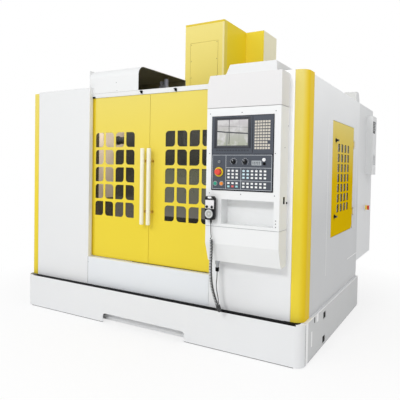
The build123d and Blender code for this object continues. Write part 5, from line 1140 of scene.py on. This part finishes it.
def make_floor():
    """A pale floor that keeps the machine's shadow and runs out into the white surround."""
    deselect()
    bpy.ops.mesh.primitive_plane_add(size=60, location=(0, 0, -0.0005))
    floor = bpy.context.active_object
    floor.name = "floor"
    bpy.ops.object.transform_apply(location=True, rotation=True, scale=True)
    made = Finish("pale_floor", roughness=0.7)
    made.colour(made.blend(made.noise(3.0, 2.0) * 0.3, tone(246, 246, 246), tone(242, 242, 243)))
    flat = made.node("ShaderNodeCombineXYZ", {}, {"X": made.x, "Y": made.y})
    away = made.node("ShaderNodeVectorMath", {"operation": "LENGTH"}, {0: flat}, output="Value")
    white = made.node("ShaderNodeEmission", {}, {"Color": (1, 1, 1, 1), "Strength": 1.0})
    rays = made.node("ShaderNodeLightPath", output="Is Camera Ray")
    path = rays.socket.node.outputs
    seen = rays + Value(made, path["Is Glossy Ray"]) + Value(made, path["Is Transmission Ray"])
    share = (0.74 + made.between(away, 1.2, 2.6) * 0.26) * seen.clamped()
    coat = Value(made, made.shader.outputs["BSDF"])
    mixed = made.node("ShaderNodeMixShader", {}, {0: share, 1: coat, 2: white})
    made.tree.links.new(mixed.socket, made.tree.nodes["Material Output"].inputs["Surface"])
    floor.data.materials.append(made.material)


def make_surround():
    """Even studio light, white where it is looked at or reflected."""
    world = bpy.data.worlds.new("studio")
    scene.world = world
    world.use_nodes = True
    tree = world.node_tree
    tree.nodes.clear()
    path = tree.nodes.new("ShaderNodeLightPath")
    light = tree.nodes.new("ShaderNodeBackground")
    light.inputs["Color"].default_value = (0.985, 0.99, 1.0, 1.0)
    light.inputs["Strength"].default_value = 0.58
    white = tree.nodes.new("ShaderNodeBackground")
    white.inputs["Color"].default_value = (1.0, 1.0, 1.0, 1.0)
    white.inputs["Strength"].default_value = 1.0
    shares = path.outputs["Is Camera Ray"]
    for name in ("Is Glossy Ray", "Is Transmission Ray"):
        total = tree.nodes.new("ShaderNodeMath")
        total.operation = "ADD"
        total.use_clamp = True
        tree.links.new(shares, total.inputs[0])
        tree.links.new(path.outputs[name], total.inputs[1])
        shares = total.outputs[0]
    mixed = tree.nodes.new("ShaderNodeMixShader")
    tree.links.new(shares, mixed.inputs[0])
    tree.links.new(light.outputs[0], mixed.inputs[1])
    tree.links.new(white.outputs[0], mixed.inputs[2])
    out = tree.nodes.new("ShaderNodeOutputWorld")
    tree.links.new(mixed.outputs[0], out.inputs["Surface"])


def make_lamp(name, place, target, size, power):
    """A square soft lamp aimed at a point."""
    lamp = bpy.data.lights.new(name, "AREA")
    lamp.size = size
    lamp.energy = power
    piece = bpy.data.objects.new(name, lamp)
    scene.collection.objects.link(piece)
    piece.location = place
    piece.rotation_euler = (Vector(target) - Vector(place)).to_track_quat("-Z", "Y").to_euler()


def make_camera():
    """The camera at the operator's right, level with the console."""
    turn, tilt, roll = radians(-30.264), radians(-1.541), radians(0.983)
    ahead = Vector((sin(turn) * cos(tilt), cos(turn) * cos(tilt), sin(tilt)))
    right = Vector((cos(turn), -sin(turn), 0))
    above = right.cross(ahead)
    level_right = right * cos(roll) + above * sin(roll)
    level_up = above * cos(roll) - right * sin(roll)
    camera = bpy.data.objects.new("camera", bpy.data.cameras.new("camera"))
    scene.collection.objects.link(camera)
    camera.data.sensor_width = 36.0
    camera.data.lens = 41.29
    camera.data.shift_y = -0.0507
    camera.data.clip_end = 200.0
    place = Matrix.Translation((2.054, -3.75215, 1.226))
    axes = Matrix((level_right, level_up, -ahead)).transposed().to_4x4()
    camera.matrix_world = place @ axes
    scene.camera = camera


make_floor()
make_surround()
make_lamp("key_lamp", (-2.6, -5.2, 4.0), (0.0, -0.9, 1.1), 3.2, 46.0)
make_lamp("front_lamp", (0.5, -6.2, 4.0), (0.1, -1.0, 0.9), 0.8, 104.0)
make_lamp("side_lamp", (3.2, -1.6, 4.0), (0.4, 0.0, 2.0), 2.0, 30.0)
make_lamp("inner_lamp", at(-760, 420, 1780), at(-1216, 900, 1350), 0.3, 9.0)
make_camera()
scene.view_settings.view_transform = "Standard"

deselect()
bpy.context.view_layer.update()
